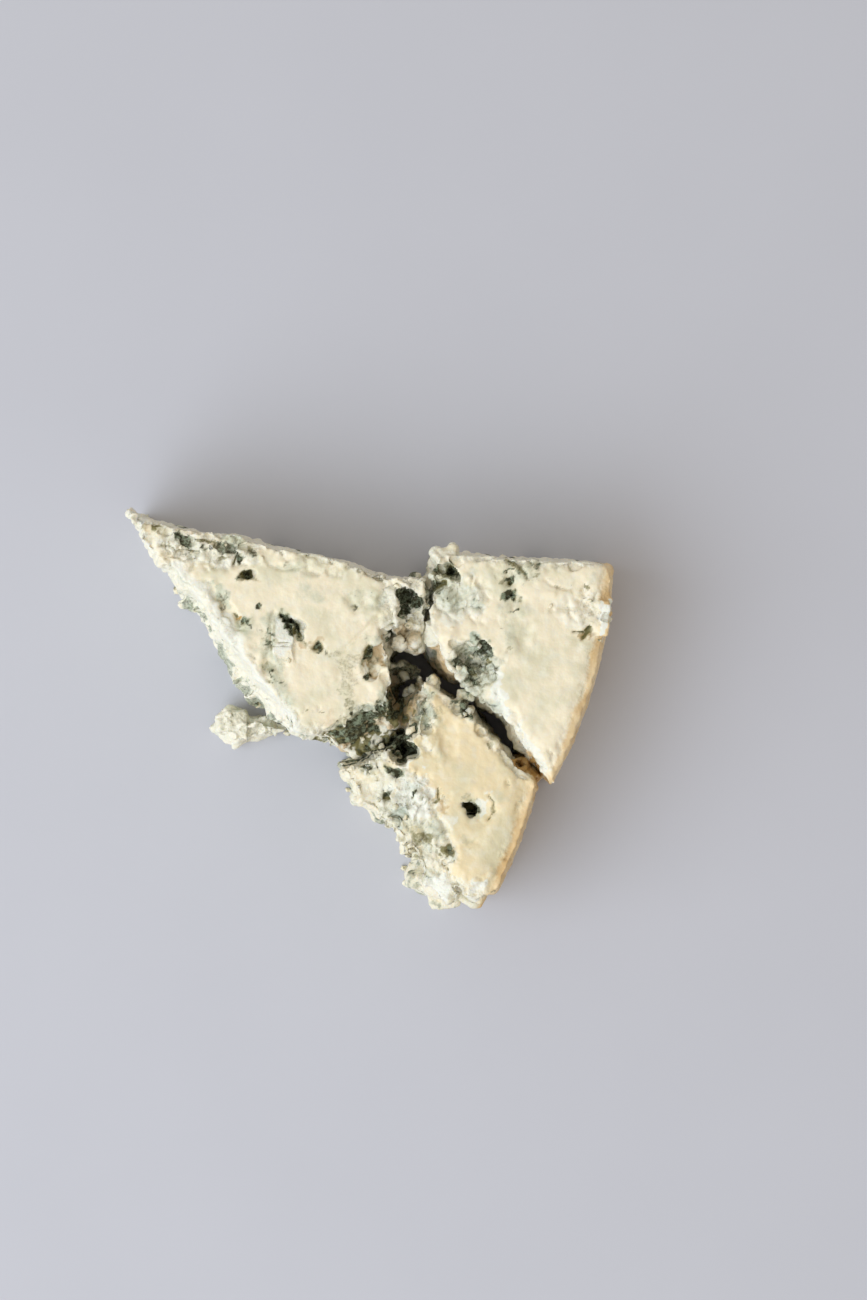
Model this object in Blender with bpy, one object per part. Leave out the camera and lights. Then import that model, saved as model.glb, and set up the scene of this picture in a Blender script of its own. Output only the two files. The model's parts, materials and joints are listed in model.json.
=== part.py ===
"""A wedge of blue cheese that has broken into three chunks, with one loose crumb at its side.

Plan points are in millimetres as the wedge lies, seen from above, with its tip at (0, 0).
An empty turns that plan, so that the wedge runs from its tip to its rind along +X, and centres it.
"""

import math

import bmesh
import bpy
from mathutils import Matrix, Vector, noise

MM = 0.001

# Driving dimensions: an eighth of a wheel of 196 mm, cut across into a slab 32 mm high.
WHEEL_RADIUS = 98.0
HEIGHT = 32.0
CRUMB_HEIGHT = 7.0
WEDGE_TURN = math.radians(28.5)
PLAN_CENTRE = Vector((42.69, -24.76))

# How finely the solids are shaped, in millimetres.
EDGE_STEP = 3.0
ARC_STEP = 5.0
WALL_LEVELS = 8
SKIN_STEP = 1.3
UNDER_FLOOR = 2.0
FLOOR_SNAP = 0.08
CHUNK_TRIANGLES = 2200
CRUMB_TRIANGLES = 420

# The unevenness of a broken face and of the top, each with the width of its waves and their depth.
# The top's pits and waves fade out over TOP_ZONE below it. The seed sets where the waves fall.
CRUMBLE_WIDTH = 5.5
CRUMBLE_DEPTH = 0.6
TOP_WAVE_WIDTH = 14.0
TOP_WAVE_DEPTH = 0.5
TOP_ZONE = 9.0
NOISE_SEED = 11

# A wall stands back with its height to this power: a broken wall slopes, a rind rounds over at its top.
BROKEN = 2.0
SLOPING = 1.4
ROUNDED = 5.0


class Stretch:
    """A run of a chunk's outline at its foot, how far its wall stands back at the top, and its power."""

    def __init__(self, points, setback, power=BROKEN):
        self.points = points
        self.setback = setback
        self.power = power


def rind(start, end):
    """Points along the wheel's edge from start to end, bulging to the right of that way."""
    chord = Vector(end) - Vector(start)
    along = chord.normalized()
    across = Vector((along.y, -along.x))
    half = chord.length / 2
    centre = (Vector(start) + Vector(end)) / 2 - across * math.sqrt(WHEEL_RADIUS**2 - half**2)
    spread = math.asin(half / WHEEL_RADIUS)
    count = max(2, round(chord.length / ARC_STEP))
    turns = [spread * (1 - 2 * i / count) for i in range(count + 1)]
    return [tuple(centre + WHEEL_RADIUS * (across * math.cos(t) - along * math.sin(t))) for t in turns]


TIP_CHUNK = [
    Stretch([(1.4, 0.2), (0.2, 1.4), (-2.2, 1.4), (-1.0, -1.6)], 0.7),
    Stretch([(0.8, -4.8), (2.8, -7.8), (4.2, -10.0)], 0.7),
    Stretch([(5.2, -12.2), (6.6, -14.6), (9.6, -17.0), (11.6, -19.4), (12.8, -21.2)], 3.6),
    Stretch([(13.8, -23.4), (15.0, -26.2), (17.8, -30.8)], 5.0),
    Stretch([(21.2, -36.2), (24.4, -38.8), (28.2, -42.2)], 5.0),
    Stretch([(31.6, -43.8), (34.6, -44.6), (36.8, -45.5)], 1.8),
    Stretch([(39.4, -47.0), (42.0, -47.9), (44.6, -48.3)], 1.8),
    Stretch([(46.2, -46.6), (47.8, -45.3), (50.0, -44.5), (51.2, -43.0)], 1.0),
    Stretch([(51.4, -39.6), (51.2, -36.6), (51.8, -34.0), (51.8, -31.0), (51.4, -28.4)], 0.9),
    Stretch([(52.6, -26.6), (55.2, -26.7)], 6.0, SLOPING),
    Stretch([(56.4, -24.6), (56.4, -20.6), (56.6, -17.0)], 1.6),
    Stretch([(57.5, -15.2), (57.7, -13.0), (56.8, -11.4)], 1.2),
    Stretch([(54.4, -11.8), (48.6, -11.2), (41.6, -8.4)], 1.2),
    Stretch([(34.0, -6.8), (26.4, -5.2), (20.8, -3.2)], 1.4),
    Stretch([(13.6, -2.6), (7.0, -1.4), (4.2, -0.4)], 1.4),
]

LEFT_HEEL_CHUNK = [
    Stretch([(60.6, -6.6), (59.4, -7.8), (59.1, -11.6)], 1.0),
    Stretch([(59.1, -14.0), (58.4, -16.8), (58.0, -22.4)], 1.0),
    Stretch([(57.7, -26.2), (58.7, -29.0), (60.5, -31.4), (62.7, -33.0), (65.0, -34.0)], 2.8, SLOPING),
    Stretch([(67.1, -35.4), (69.6, -38.0), (73.4, -40.4)], 1.3),
    Stretch([(76.2, -45.0), (80.2, -50.4), (82.3, -52.7)], 1.3),
    Stretch(rind((83.6, -54.2), (96.1, -12.0)), 2.8, ROUNDED),
    Stretch([(95.8, -9.8), (94.4, -8.4)], 1.6),
    Stretch([(91.0, -8.2), (86.0, -8.0), (81.0, -7.8), (73.0, -7.2), (66.6, -6.8)], 0.9),
]

RIGHT_HEEL_CHUNK = [
    Stretch([(58.6, -32.8), (60.4, -34.0), (64.0, -36.2), (68.0, -38.9), (71.0, -42.7)], 1.0),
    Stretch([(74.6, -46.8), (77.0, -50.0), (79.6, -51.9)], 0.7),
    Stretch(rind((73.0, -75.4), (81.0, -53.9))[::-1], 3.2, ROUNDED),
    Stretch([(71.4, -77.2), (67.4, -79.4), (64.8, -76.8), (62.4, -79.8), (58.0, -77.2)], 3.5),
    Stretch([(54.2, -73.2), (55.8, -70.2), (53.4, -66.8), (51.8, -63.0), (47.4, -61.8)], 3.0),
    Stretch([(43.6, -57.8), (42.4, -54.8), (40.6, -52.0), (40.2, -49.4)], 2.6),
    Stretch([(44.2, -49.4), (46.4, -48.3), (48.0, -46.7), (50.2, -45.9), (52.2, -44.4)], 1.0),
    Stretch([(53.2, -42.0), (53.8, -39.6), (54.2, -37.0), (55.4, -34.8), (57.0, -33.4)], 3.6, SLOPING),
]

SIDE_CRUMB = [
    Stretch([(15.6, -38.6), (18.6, -38.4), (21.4, -40.4), (24.6, -40.2)], 1.6),
    Stretch([(26.8, -42.2), (27.6, -43.6), (25.0, -45.0), (21.0, -46.6)], 1.4),
    Stretch([(17.8, -46.8), (14.8, -44.4), (14.0, -42.2), (15.4, -40.8)], 1.6),
]

# Lumps that stand proud of the walls: x, y, height of the middle, radius.
TIP_LUMPS = [
    (10.0, -17.0, 13.0, 2.6),
    (12.6, -18.4, 12.0, 2.0),
    (19.4, -32.4, 16.0, 1.9),
    (22.4, -35.8, 14.0, 2.0),
    (54.4, -13.2, 30.0, 1.9),
    (56.6, -13.4, 29.6, 1.6),
    (53.0, -14.6, 30.2, 1.7),
]
LEFT_HEEL_LUMPS = [
    (60.8, -7.2, 29.6, 1.6),
    (64.0, -6.2, 29.4, 1.6),
    (62.4, -8.0, 29.0, 2.1),
    (94.0, -10.6, 28.0, 1.6),
]
RIGHT_HEEL_LUMPS = [
    (59.2, -32.9, 27.5, 1.6),
    (56.4, -72.6, 17.0, 2.2),
    (60.8, -76.4, 15.0, 2.9),
    (67.4, -77.0, 16.0, 2.6),
    (47.8, -48.3, 27.4, 1.9),
    (51.6, -49.2, 28.6, 2.1),
    (44.0, -50.8, 25.0, 1.8),
]
CRUMB_LUMPS = [
    (17.2, -41.6, 4.8, 2.9),
    (23.0, -42.6, 4.2, 2.5),
]

# Pits and hollows in the top: x, y, half length, half width, turn in degrees, depth.
TIP_PITS = [
    (22.4, -11.8, 2.4, 1.6, 0, 3.0),
    (31.6, -22.4, 3.2, 1.6, -55, 3.0),
    (49.2, -27.6, 4.2, 3.0, 80, 4.0),
]
LEFT_HEEL_PITS = [
    (62.2, -11.0, 2.6, 1.9, 20, 3.4),
    (68.4, -28.8, 5.0, 3.0, -40, 3.0),
]
RIGHT_HEEL_PITS = [
    (54.6, -45.8, 3.2, 2.8, 40, 10.0),
    (67.6, -58.2, 2.2, 1.8, 60, 4.0),
]

# The tip chunk's ledge, where its top broke away: it falls to the right of the way between two points.
LEDGE_START = Vector((40.2, -41.0))
LEDGE_END = Vector((51.4, -36.0))
LEDGE_SLOPE = 1.25
LEDGE_LOWEST = 19.0


def cheese_material(name, colour, roughness):
    """A plain matt finish in the colour that this piece of the cheese shows."""
    material = bpy.data.materials.new(name)
    material.use_nodes = True
    shader = material.node_tree.nodes["Principled BSDF"]
    shader.inputs["Base Color"].default_value = (*colour, 1.0)
    shader.inputs["Roughness"].default_value = roughness
    shader.inputs["Metallic"].default_value = 0.0
    return material


def evened(stretches):
    """The outline's points no further apart than EDGE_STEP, each with its wall's set-back and power."""
    marks = [(Vector(p), s.setback, s.power) for s in stretches for p in s.points]
    outline = []
    for (here, setback, power), (there, next_setback, _) in zip(marks, marks[1:] + marks[:1]):
        count = max(1, math.ceil((there - here).length / EDGE_STEP))
        for i in range(count):
            share = i / count
            outline.append((here.lerp(there, share), setback + (next_setback - setback) * share, power))
    return outline


def ways_in(outline):
    """For each point of an outline, the level direction that leads into the chunk."""
    places = [point for point, _, _ in outline]
    area = sum(a.cross(b) for a, b in zip(places, places[1:] + places[:1]))
    side = math.copysign(1.0, area)
    neighbours = zip(places[-1:] + places[:-1], places[1:] + places[:1])
    spans = [(after - before).normalized() for before, after in neighbours]
    return [Vector((-span.y, span.x)) * side for span in spans]


def block(stretches, height):
    """A chunk's block: its foot outline drawn up by levels, each standing back as the walls do."""
    outline = evened(stretches)
    ways = ways_in(outline)
    mesh = bmesh.new()
    post = mesh.verts.layers.int.new("post")
    top = mesh.faces.new([mesh.verts.new((point.x, point.y, -UNDER_FLOOR)) for point, _, _ in outline])
    for index, vert in enumerate(top.verts):
        vert[post] = index
    for level in range(WALL_LEVELS + 1):
        share = level / WALL_LEVELS
        made = bmesh.ops.extrude_face_region(mesh, geom=[top])["geom"]
        top = next(part for part in made if isinstance(part, bmesh.types.BMFace))
        for vert in top.verts:
            point, setback, power = outline[vert[post]]
            stand = point + ways[vert[post]] * setback * share**power
            vert.co = (stand.x, stand.y, height * share)
    bmesh.ops.recalc_face_normals(mesh, faces=mesh.faces[:])
    return mesh


def evaluated(shape):
    """Works the object's modifiers into its mesh."""
    graph = bpy.context.evaluated_depsgraph_get()
    skin = bpy.data.meshes.new_from_object(shape.evaluated_get(graph))
    shape.modifiers.clear()
    shape.data = skin


def reskinned(shape):
    """Joins the object's overlapping shells under one even skin."""
    remesh = shape.modifiers.new("Skin", "REMESH")
    remesh.mode = "VOXEL"
    remesh.voxel_size = SKIN_STEP
    evaluated(shape)


def thinned(shape, triangles):
    """Leaves about that many triangles, most of them where the surface bends."""
    faces = sum(len(face.vertices) - 2 for face in shape.data.polygons)
    decimate = shape.modifiers.new("Thin", "DECIMATE")
    decimate.ratio = min(1.0, triangles / faces)
    evaluated(shape)


def dug(place, pit):
    """How deep a pit is at a place: its whole depth in the middle and nothing past its rim."""
    x, y, long_half, short_half, turn, depth = pit
    away = Matrix.Rotation(-math.radians(turn), 2) @ Vector((place.x - x, place.y - y))
    reach = math.hypot(away.x / long_half, away.y / short_half)
    return depth * max(0.0, 1.0 - reach**2)


def below_ledge(place):
    """The height that the broken ledge leaves at a place."""
    along = (LEDGE_END - LEDGE_START).normalized()
    past = (Vector((place.x, place.y)) - LEDGE_START).cross(along)
    return max(LEDGE_LOWEST, HEIGHT - LEDGE_SLOPE * max(0.0, past))


def sculpted(shape, height, pits, ledge):
    """Digs the pits and the ledge into the top and makes the whole skin uneven."""
    for vert in shape.data.vertices:
        place = vert.co.copy()
        top_share = min(1.0, max(0.0, 1.0 - (height - place.z) / TOP_ZONE))
        vert.co += noise.noise_vector(place / CRUMBLE_WIDTH) * CRUMBLE_DEPTH
        vert.co.z += noise.noise(place / TOP_WAVE_WIDTH) * TOP_WAVE_DEPTH * top_share
        vert.co.z -= sum(dug(place, pit) for pit in pits) * top_share
        if ledge:
            vert.co.z = min(vert.co.z, below_ledge(place))


def stood(shape):
    """Cuts the underside off flat, so that the piece rests on the floor."""
    mesh = bmesh.new()
    mesh.from_mesh(shape.data)
    whole = mesh.verts[:] + mesh.edges[:] + mesh.faces[:]
    bmesh.ops.bisect_plane(
        mesh, geom=whole, dist=FLOOR_SNAP, plane_co=(0, 0, 0), plane_no=(0, 0, 1), clear_inner=True
    )
    for vert in mesh.verts:
        if abs(vert.co.z) <= FLOOR_SNAP:
            vert.co.z = 0.0
    rim = [edge for edge in mesh.edges if edge.is_boundary]
    bmesh.ops.holes_fill(mesh, edges=rim, sides=0)
    bmesh.ops.triangulate(mesh, faces=mesh.faces[:])
    bmesh.ops.recalc_face_normals(mesh, faces=mesh.faces[:])
    mesh.to_mesh(shape.data)
    mesh.free()


class Piece:
    """A piece of the cheese: its name, outline, height, lumps and pits, and its count of triangles."""

    def __init__(self, name, stretches, height, lumps, pits, triangles):
        self.name = name
        self.stretches = stretches
        self.height = height
        self.lumps = lumps
        self.pits = pits
        self.triangles = triangles


def make_piece(piece, material, plan, ledge=False):
    """Makes one piece, from its outline to its finished solid, and gives it to the plan's empty."""
    mesh = block(piece.stretches, piece.height)
    for x, y, z, radius in piece.lumps:
        middle = Matrix.Translation((x, y, z))
        bmesh.ops.create_icosphere(mesh, subdivisions=2, radius=radius, matrix=middle)
    shape = bpy.data.objects.new(piece.name, bpy.data.meshes.new(piece.name))
    bpy.context.scene.collection.objects.link(shape)
    mesh.to_mesh(shape.data)
    mesh.free()
    reskinned(shape)
    sculpted(shape, piece.height, piece.pits, ledge)
    thinned(shape, piece.triangles)
    stood(shape)
    shape.data.transform(Matrix.Scale(MM, 4))
    shape.data.name = piece.name
    shape.data.shade_smooth()
    shape.data.materials.clear()
    shape.data.materials.append(material)
    shape.parent = plan


def make_tip_chunk(plan):
    """The front of the wedge, up to the break across it, with the ledge at its corner."""
    paste = cheese_material("creamy paste of the tip", (0.80, 0.74, 0.55), 0.6)
    tip = Piece("tip_chunk", TIP_CHUNK, HEIGHT, TIP_LUMPS, TIP_PITS, CHUNK_TRIANGLES)
    make_piece(tip, paste, plan, ledge=True)


def make_left_heel_chunk(plan):
    """The bigger half of the wedge's back, with most of its rind."""
    paste = cheese_material("creamy paste of the left heel", (0.78, 0.71, 0.53), 0.6)
    heel = Piece(
        "left_heel_chunk", LEFT_HEEL_CHUNK, HEIGHT, LEFT_HEEL_LUMPS, LEFT_HEEL_PITS, CHUNK_TRIANGLES
    )
    make_piece(heel, paste, plan)


def make_right_heel_chunk(plan):
    """The smaller, crumbling half of the wedge's back."""
    paste = cheese_material("yellower paste of the right heel", (0.70, 0.60, 0.37), 0.65)
    heel = Piece(
        "right_heel_chunk", RIGHT_HEEL_CHUNK, HEIGHT, RIGHT_HEEL_LUMPS, RIGHT_HEEL_PITS, CHUNK_TRIANGLES
    )
    make_piece(heel, paste, plan)


def make_side_crumb(plan):
    """The crumb that has fallen beside the tip."""
    paste = cheese_material("greenish paste of the crumb", (0.42, 0.43, 0.25), 0.7)
    crumb = Piece("side_crumb", SIDE_CRUMB, CRUMB_HEIGHT, CRUMB_LUMPS, [], CRUMB_TRIANGLES)
    make_piece(crumb, paste, plan)


def make_plan():
    """The empty that carries the plan: it turns the wedge along +X and centres it on the origin."""
    plan = bpy.data.objects.new("wedge_plan", None)
    bpy.context.scene.collection.objects.link(plan)
    plan.rotation_euler = (0.0, 0.0, WEDGE_TURN)
    middle = Matrix.Rotation(WEDGE_TURN, 2) @ PLAN_CENTRE * MM
    plan.location = (-middle.x, -middle.y, 0.0)
    return plan


def main():
    for shape in list(bpy.data.objects):
        bpy.data.objects.remove(shape, do_unlink=True)
    noise.seed_set(NOISE_SEED)
    plan = make_plan()
    make_tip_chunk(plan)
    make_left_heel_chunk(plan)
    make_right_heel_chunk(plan)
    make_side_crumb(plan)


main()
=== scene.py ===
"""The looks of a broken wedge of blue cheese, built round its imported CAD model.

Shapes are worked out in plan millimetres, with the wedge's tip at (0, 0), as in the CAD model's source.
Pits, stains and lumps are placed by the photograph's pixels, and a pixel is 0.2 mm on the top face.
"""

import json
import math
import random

import bmesh
import bpy
import numpy as np
from bpy.props import FloatProperty, FloatVectorProperty, PointerProperty
from mathutils import Matrix, Vector, noise

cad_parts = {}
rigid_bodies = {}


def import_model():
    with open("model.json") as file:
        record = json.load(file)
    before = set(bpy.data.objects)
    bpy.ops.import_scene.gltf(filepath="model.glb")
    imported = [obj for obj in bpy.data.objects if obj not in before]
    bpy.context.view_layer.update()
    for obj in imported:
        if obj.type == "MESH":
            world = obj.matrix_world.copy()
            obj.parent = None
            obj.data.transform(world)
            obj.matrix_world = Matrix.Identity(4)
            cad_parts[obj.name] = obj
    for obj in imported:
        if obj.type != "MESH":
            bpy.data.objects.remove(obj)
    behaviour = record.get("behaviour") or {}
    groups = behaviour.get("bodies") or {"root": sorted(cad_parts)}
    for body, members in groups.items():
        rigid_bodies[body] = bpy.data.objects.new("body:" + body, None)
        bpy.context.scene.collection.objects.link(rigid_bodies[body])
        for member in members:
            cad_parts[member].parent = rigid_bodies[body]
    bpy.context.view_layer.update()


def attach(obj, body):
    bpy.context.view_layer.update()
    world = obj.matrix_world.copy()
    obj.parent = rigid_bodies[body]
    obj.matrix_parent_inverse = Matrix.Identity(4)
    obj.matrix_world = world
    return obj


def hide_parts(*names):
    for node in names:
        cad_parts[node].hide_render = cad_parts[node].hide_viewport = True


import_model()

bl_info = {
    "name": "Blue cheese wedge",
    "version": (1, 0, 0),
    "blender": (4, 5, 0),
    "location": "View3D > Sidebar > Cheese",
    "description": "Builds the crumbled paste, rind, mould and loose crumbs of a blue cheese wedge",
    "category": "Add Mesh",
}

MM = 0.001

# The wedge, in plan millimetres, as the CAD model has it.
WHEEL_RADIUS = 98.0
HEIGHT = 32.0
CRUMB_HEIGHT = 7.0
WEDGE_TURN = math.radians(28.5)
PLAN_CENTRE = Vector((42.69, -24.76))

# The photograph: its middle, the plan point under it, and how large it shows the top face.
PHOTO_MIDDLE = (433.5, 650.0)
PLAN_MIDDLE = (59.7, -26.6)
PIXELS_PER_MM = 5.0
CAMERA_ABOVE_TOP = 700.0
PHOTO_LONG_SIDE = 1300
SENSOR_WIDTH = 36.0

# How finely the outline and its skin are shaped, in millimetres.
EDGE_STEP = 2.0
ARC_STEP = 3.0
WALL_LEVELS = 8
FIRST_SKIN_STEP = 0.5
# A block reaches so far under the floor before its underside is cut off, and what ends so near is snapped.
UNDER_FLOOR = 2.0
FLOOR_SNAP = 0.05
# The skin stands out of the cut top by no more than this.
TOP_RELIEF = 1.2
# How uneven a lump is, as a share of its size, and how far a flake's corners stray.
LUMP_UNEVENNESS = 0.55
FLAKE_UNEVENNESS = 0.5
# Small curds on the walls: how low each may lie, as a share of the height, and its size.
NIBS = ((0.1, 1.3), (0.1, 1.3), (0.1, 1.1), (0.5, 1.0), (0.86, 0.9), (0.92, 0.8), (0.95, 0.6))
LARGEST_RIND_NIB = 1.0
# Bites along the top's edge: how often one is left out, and how far they keep from the smooth band.
UNBITTEN_SHARE = 0.3
BAND_MARGIN_PIXELS = 12.0
# Loose curds: how far below the top they lie, and how many points of the first skin each has to itself.
CURDS_DOWN_TO = 9.0
POINTS_PER_CURD = 14
NOISE_SEED = 11

# A wall stands back with its height to this power: a broken wall slopes, a rind rounds over at its top.
BROKEN = 2.0
SLOPING = 1.4
ROUNDED = 9.0


class Stretch:
    """A run of a chunk's outline at its foot, how far its wall stands back at the top, and its power."""

    def __init__(self, points, setback, power=BROKEN):
        self.points = points
        self.setback = setback
        self.power = power


def wheel_centre(start, end):
    """The centre of the wheel whose edge runs from start to end, bulging to the right of that way."""
    chord = Vector(end) - Vector(start)
    across = Vector((chord.y, -chord.x)).normalized()
    return (Vector(start) + Vector(end)) / 2 - across * math.sqrt(WHEEL_RADIUS**2 - chord.length**2 / 4)


def rind(start, end):
    """Points along the wheel's edge from start to end."""
    centre = wheel_centre(start, end)
    first = math.atan2(start[1] - centre.y, start[0] - centre.x)
    last = math.atan2(end[1] - centre.y, end[0] - centre.x)
    count = max(2, round(WHEEL_RADIUS * abs(last - first) / ARC_STEP))
    turns = [first + (last - first) * i / count for i in range(count + 1)]
    return [tuple(centre + WHEEL_RADIUS * Vector((math.cos(t), math.sin(t)))) for t in turns]


TIP_OUTLINE = [
    Stretch([(1.4, 0.2), (0.2, 1.4), (-2.2, 1.4), (-1.0, -1.6)], 0.7),
    Stretch([(0.8, -4.8), (2.8, -7.8), (4.2, -10.0)], 0.7),
    Stretch([(5.2, -12.2), (6.6, -14.6), (9.6, -17.0), (11.6, -19.4), (12.8, -21.2)], 3.6),
    Stretch([(13.8, -23.4), (15.0, -26.2), (17.8, -30.8)], 5.0),
    Stretch([(21.2, -36.2), (24.4, -38.8), (28.2, -42.2)], 5.0),
    Stretch([(31.6, -43.8), (34.6, -44.6), (36.8, -45.5)], 1.8),
    Stretch([(39.4, -47.0), (42.0, -47.9), (44.6, -48.3)], 1.8),
    Stretch([(46.2, -46.6), (47.8, -45.3), (50.0, -44.5), (51.2, -43.0)], 1.0),
    Stretch([(51.4, -39.6), (51.2, -36.6), (51.8, -34.0), (51.8, -31.0), (51.4, -28.4)], 0.9),
    Stretch([(52.6, -26.6), (55.2, -26.7)], 6.0, SLOPING),
    Stretch([(56.4, -24.6), (56.4, -20.6), (56.6, -17.0)], 1.6),
    Stretch([(57.5, -15.2), (57.7, -13.0), (56.8, -11.4)], 1.2),
    Stretch([(54.4, -11.8), (48.6, -11.2), (41.6, -8.4)], 0.3),
    Stretch([(34.0, -6.8), (26.4, -5.2), (20.8, -3.2)], 0.4),
    Stretch([(13.6, -2.6), (7.0, -1.4), (4.2, -0.4)], 0.5),
]

LEFT_RIND = [(83.6, -54.2), (96.1, -12.0)]
LEFT_HEEL_OUTLINE = [
    Stretch([(60.6, -6.6), (59.4, -7.8), (59.1, -11.6)], 1.0),
    Stretch([(59.1, -14.0), (58.4, -16.8), (58.0, -22.4)], 1.0),
    Stretch([(57.7, -26.2), (58.7, -29.0), (60.5, -31.4), (62.7, -33.0), (65.0, -34.0)], 2.8, SLOPING),
    Stretch([(67.1, -35.4), (69.6, -38.0), (73.4, -40.4)], 0.7),
    Stretch([(76.2, -45.0), (80.2, -50.4), (82.3, -52.7)], 0.5),
    Stretch(rind(*LEFT_RIND), 1.3, ROUNDED),
    Stretch([(95.8, -9.8), (94.4, -8.4)], 1.6),
    Stretch([(91.0, -8.2), (86.0, -8.0), (81.0, -7.8), (73.0, -7.2), (66.6, -6.8)], 0.9),
]

RIGHT_RIND = [(73.0, -75.4), (81.0, -53.9)]
RIGHT_HEEL_OUTLINE = [
    Stretch([(58.6, -32.8), (60.4, -34.0), (64.0, -36.2), (68.0, -38.9), (71.0, -42.7)], 0.6),
    Stretch([(74.6, -46.8), (77.0, -50.0), (79.6, -51.9)], 0.4),
    Stretch(rind(*RIGHT_RIND)[::-1], 1.5, ROUNDED),
    Stretch([(71.4, -77.2), (67.4, -79.4), (64.8, -76.8), (62.4, -79.8), (58.0, -77.2)], 3.5),
    Stretch([(54.2, -73.2), (55.8, -70.2), (53.4, -66.8), (51.8, -63.0), (47.4, -61.8)], 3.0),
    Stretch([(43.6, -57.8), (42.4, -54.8), (40.6, -52.0), (40.2, -49.4)], 2.6),
    Stretch([(44.2, -49.4), (46.4, -48.3), (48.0, -46.7), (50.2, -45.9), (52.2, -44.4)], 1.0),
    Stretch([(53.2, -42.0), (53.8, -39.6), (54.2, -37.0), (55.4, -34.8), (57.0, -33.4)], 3.6, SLOPING),
]

SIDE_CRUMB_OUTLINE = [
    Stretch([(15.6, -38.6), (18.6, -38.4), (21.4, -40.4), (24.6, -40.2)], 1.6),
    Stretch([(26.8, -42.2), (27.6, -43.6), (25.0, -45.0), (21.0, -46.6)], 1.4),
    Stretch([(17.8, -46.8), (14.8, -44.4), (14.0, -42.2), (15.4, -40.8)], 1.6),
]

# Lumps on the walls and the top: the pixel that shows their middle, its height in millimetres,
# and their half length, half width and half height in millimetres.
TIP_LUMPS = [
    (191.6, 603.2, 13.0, 2.6, 2.6, 2.6),
    (204.3, 610.1, 12.0, 2.0, 2.0, 2.0),
    (236.5, 678.4, 16.0, 1.9, 1.9, 1.9),
    (250.9, 694.9, 14.0, 2.0, 2.0, 2.0),
    (407.0, 583.0, 30.4, 1.9, 1.7, 1.9),
    (417.8, 584.0, 30.2, 1.8, 1.7, 2.0),
    (399.0, 591.0, 30.6, 1.9, 1.7, 1.7),
    (416.5, 595.5, 29.6, 1.0, 0.9, 1.2),
    (172.0, 567.0, 24.0, 1.0, 0.8, 0.9),
    (177.0, 575.0, 23.0, 1.1, 0.9, 1.0),
    (185.0, 585.0, 22.0, 1.2, 1.0, 1.0),
    (231.0, 653.0, 24.0, 1.3, 1.1, 1.1),
    (330.0, 747.0, 22.0, 1.4, 1.1, 1.2),
    (149.0, 545.0, 29.0, 0.7, 0.6, 0.8),
    (156.0, 554.0, 28.0, 0.7, 0.6, 0.8),
    (291.0, 626.0, 29.9, 0.7, 1.0, 0.6),
    (222.0, 556.0, 31.2, 1.6, 1.0, 1.1),
    (206.0, 560.0, 31.2, 2.4, 1.2, 1.1),
    (188.0, 562.0, 31.0, 1.8, 1.2, 1.2),
    (172.0, 552.0, 30.8, 1.4, 1.1, 1.2),
    (183.0, 550.0, 31.2, 0.9, 0.8, 0.9),
    (262.0, 560.0, 31.3, 2.2, 1.1, 1.0),
    (250.0, 566.0, 31.3, 2.0, 0.9, 1.0),
    (212.0, 535.0, 31.2, 2.2, 0.9, 1.0),
    (375.0, 598.0, 31.3, 1.6, 1.6, 1.0),
    (352.0, 690.0, 31.2, 2.6, 1.8, 1.0),
    (372.0, 686.0, 31.0, 2.2, 1.4, 1.3),
    (384.0, 676.0, 30.6, 1.4, 1.6, 1.6),
    (377.0, 664.0, 30.0, 1.6, 1.4, 1.2),
    (406.0, 634.0, 26.6, 2.4, 2.6, 2.2),
    (400.0, 643.0, 25.0, 1.6, 1.5, 2.2),
    (413.0, 643.0, 24.0, 1.6, 1.8, 2.0),
    (384.0, 725.0, 28.2, 1.7, 1.3, 1.4),
    (376.0, 734.0, 26.8, 2.4, 0.8, 1.0),
    (378.0, 744.0, 24.0, 1.6, 1.2, 1.3),
    (366.0, 742.0, 24.6, 1.2, 1.0, 1.2),
    (389.0, 737.0, 22.6, 1.4, 1.2, 1.6),
    (421.0, 600.0, 27.0, 1.5, 1.4, 1.8),
    (422.0, 612.0, 26.0, 1.6, 1.4, 1.8),
    (421.0, 625.0, 25.4, 1.7, 1.6, 2.0),
    (420.0, 640.0, 23.6, 1.6, 1.5, 2.0),
    (399.0, 668.0, 17.0, 2.4, 2.0, 3.0),
    (396.0, 681.0, 12.0, 2.0, 1.8, 3.0),
    (410.0, 672.0, 15.0, 2.2, 2.0, 2.6),
    (422.0, 594.0, 29.2, 1.5, 1.5, 1.8),
    (425.0, 603.0, 28.2, 1.4, 1.5, 1.8),
    (184.0, 604.0, 10.0, 1.6, 1.2, 1.4),
    (196.0, 596.0, 14.0, 1.5, 1.2, 1.4),
    (209.0, 602.0, 14.0, 1.4, 1.3, 1.5),
]
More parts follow.
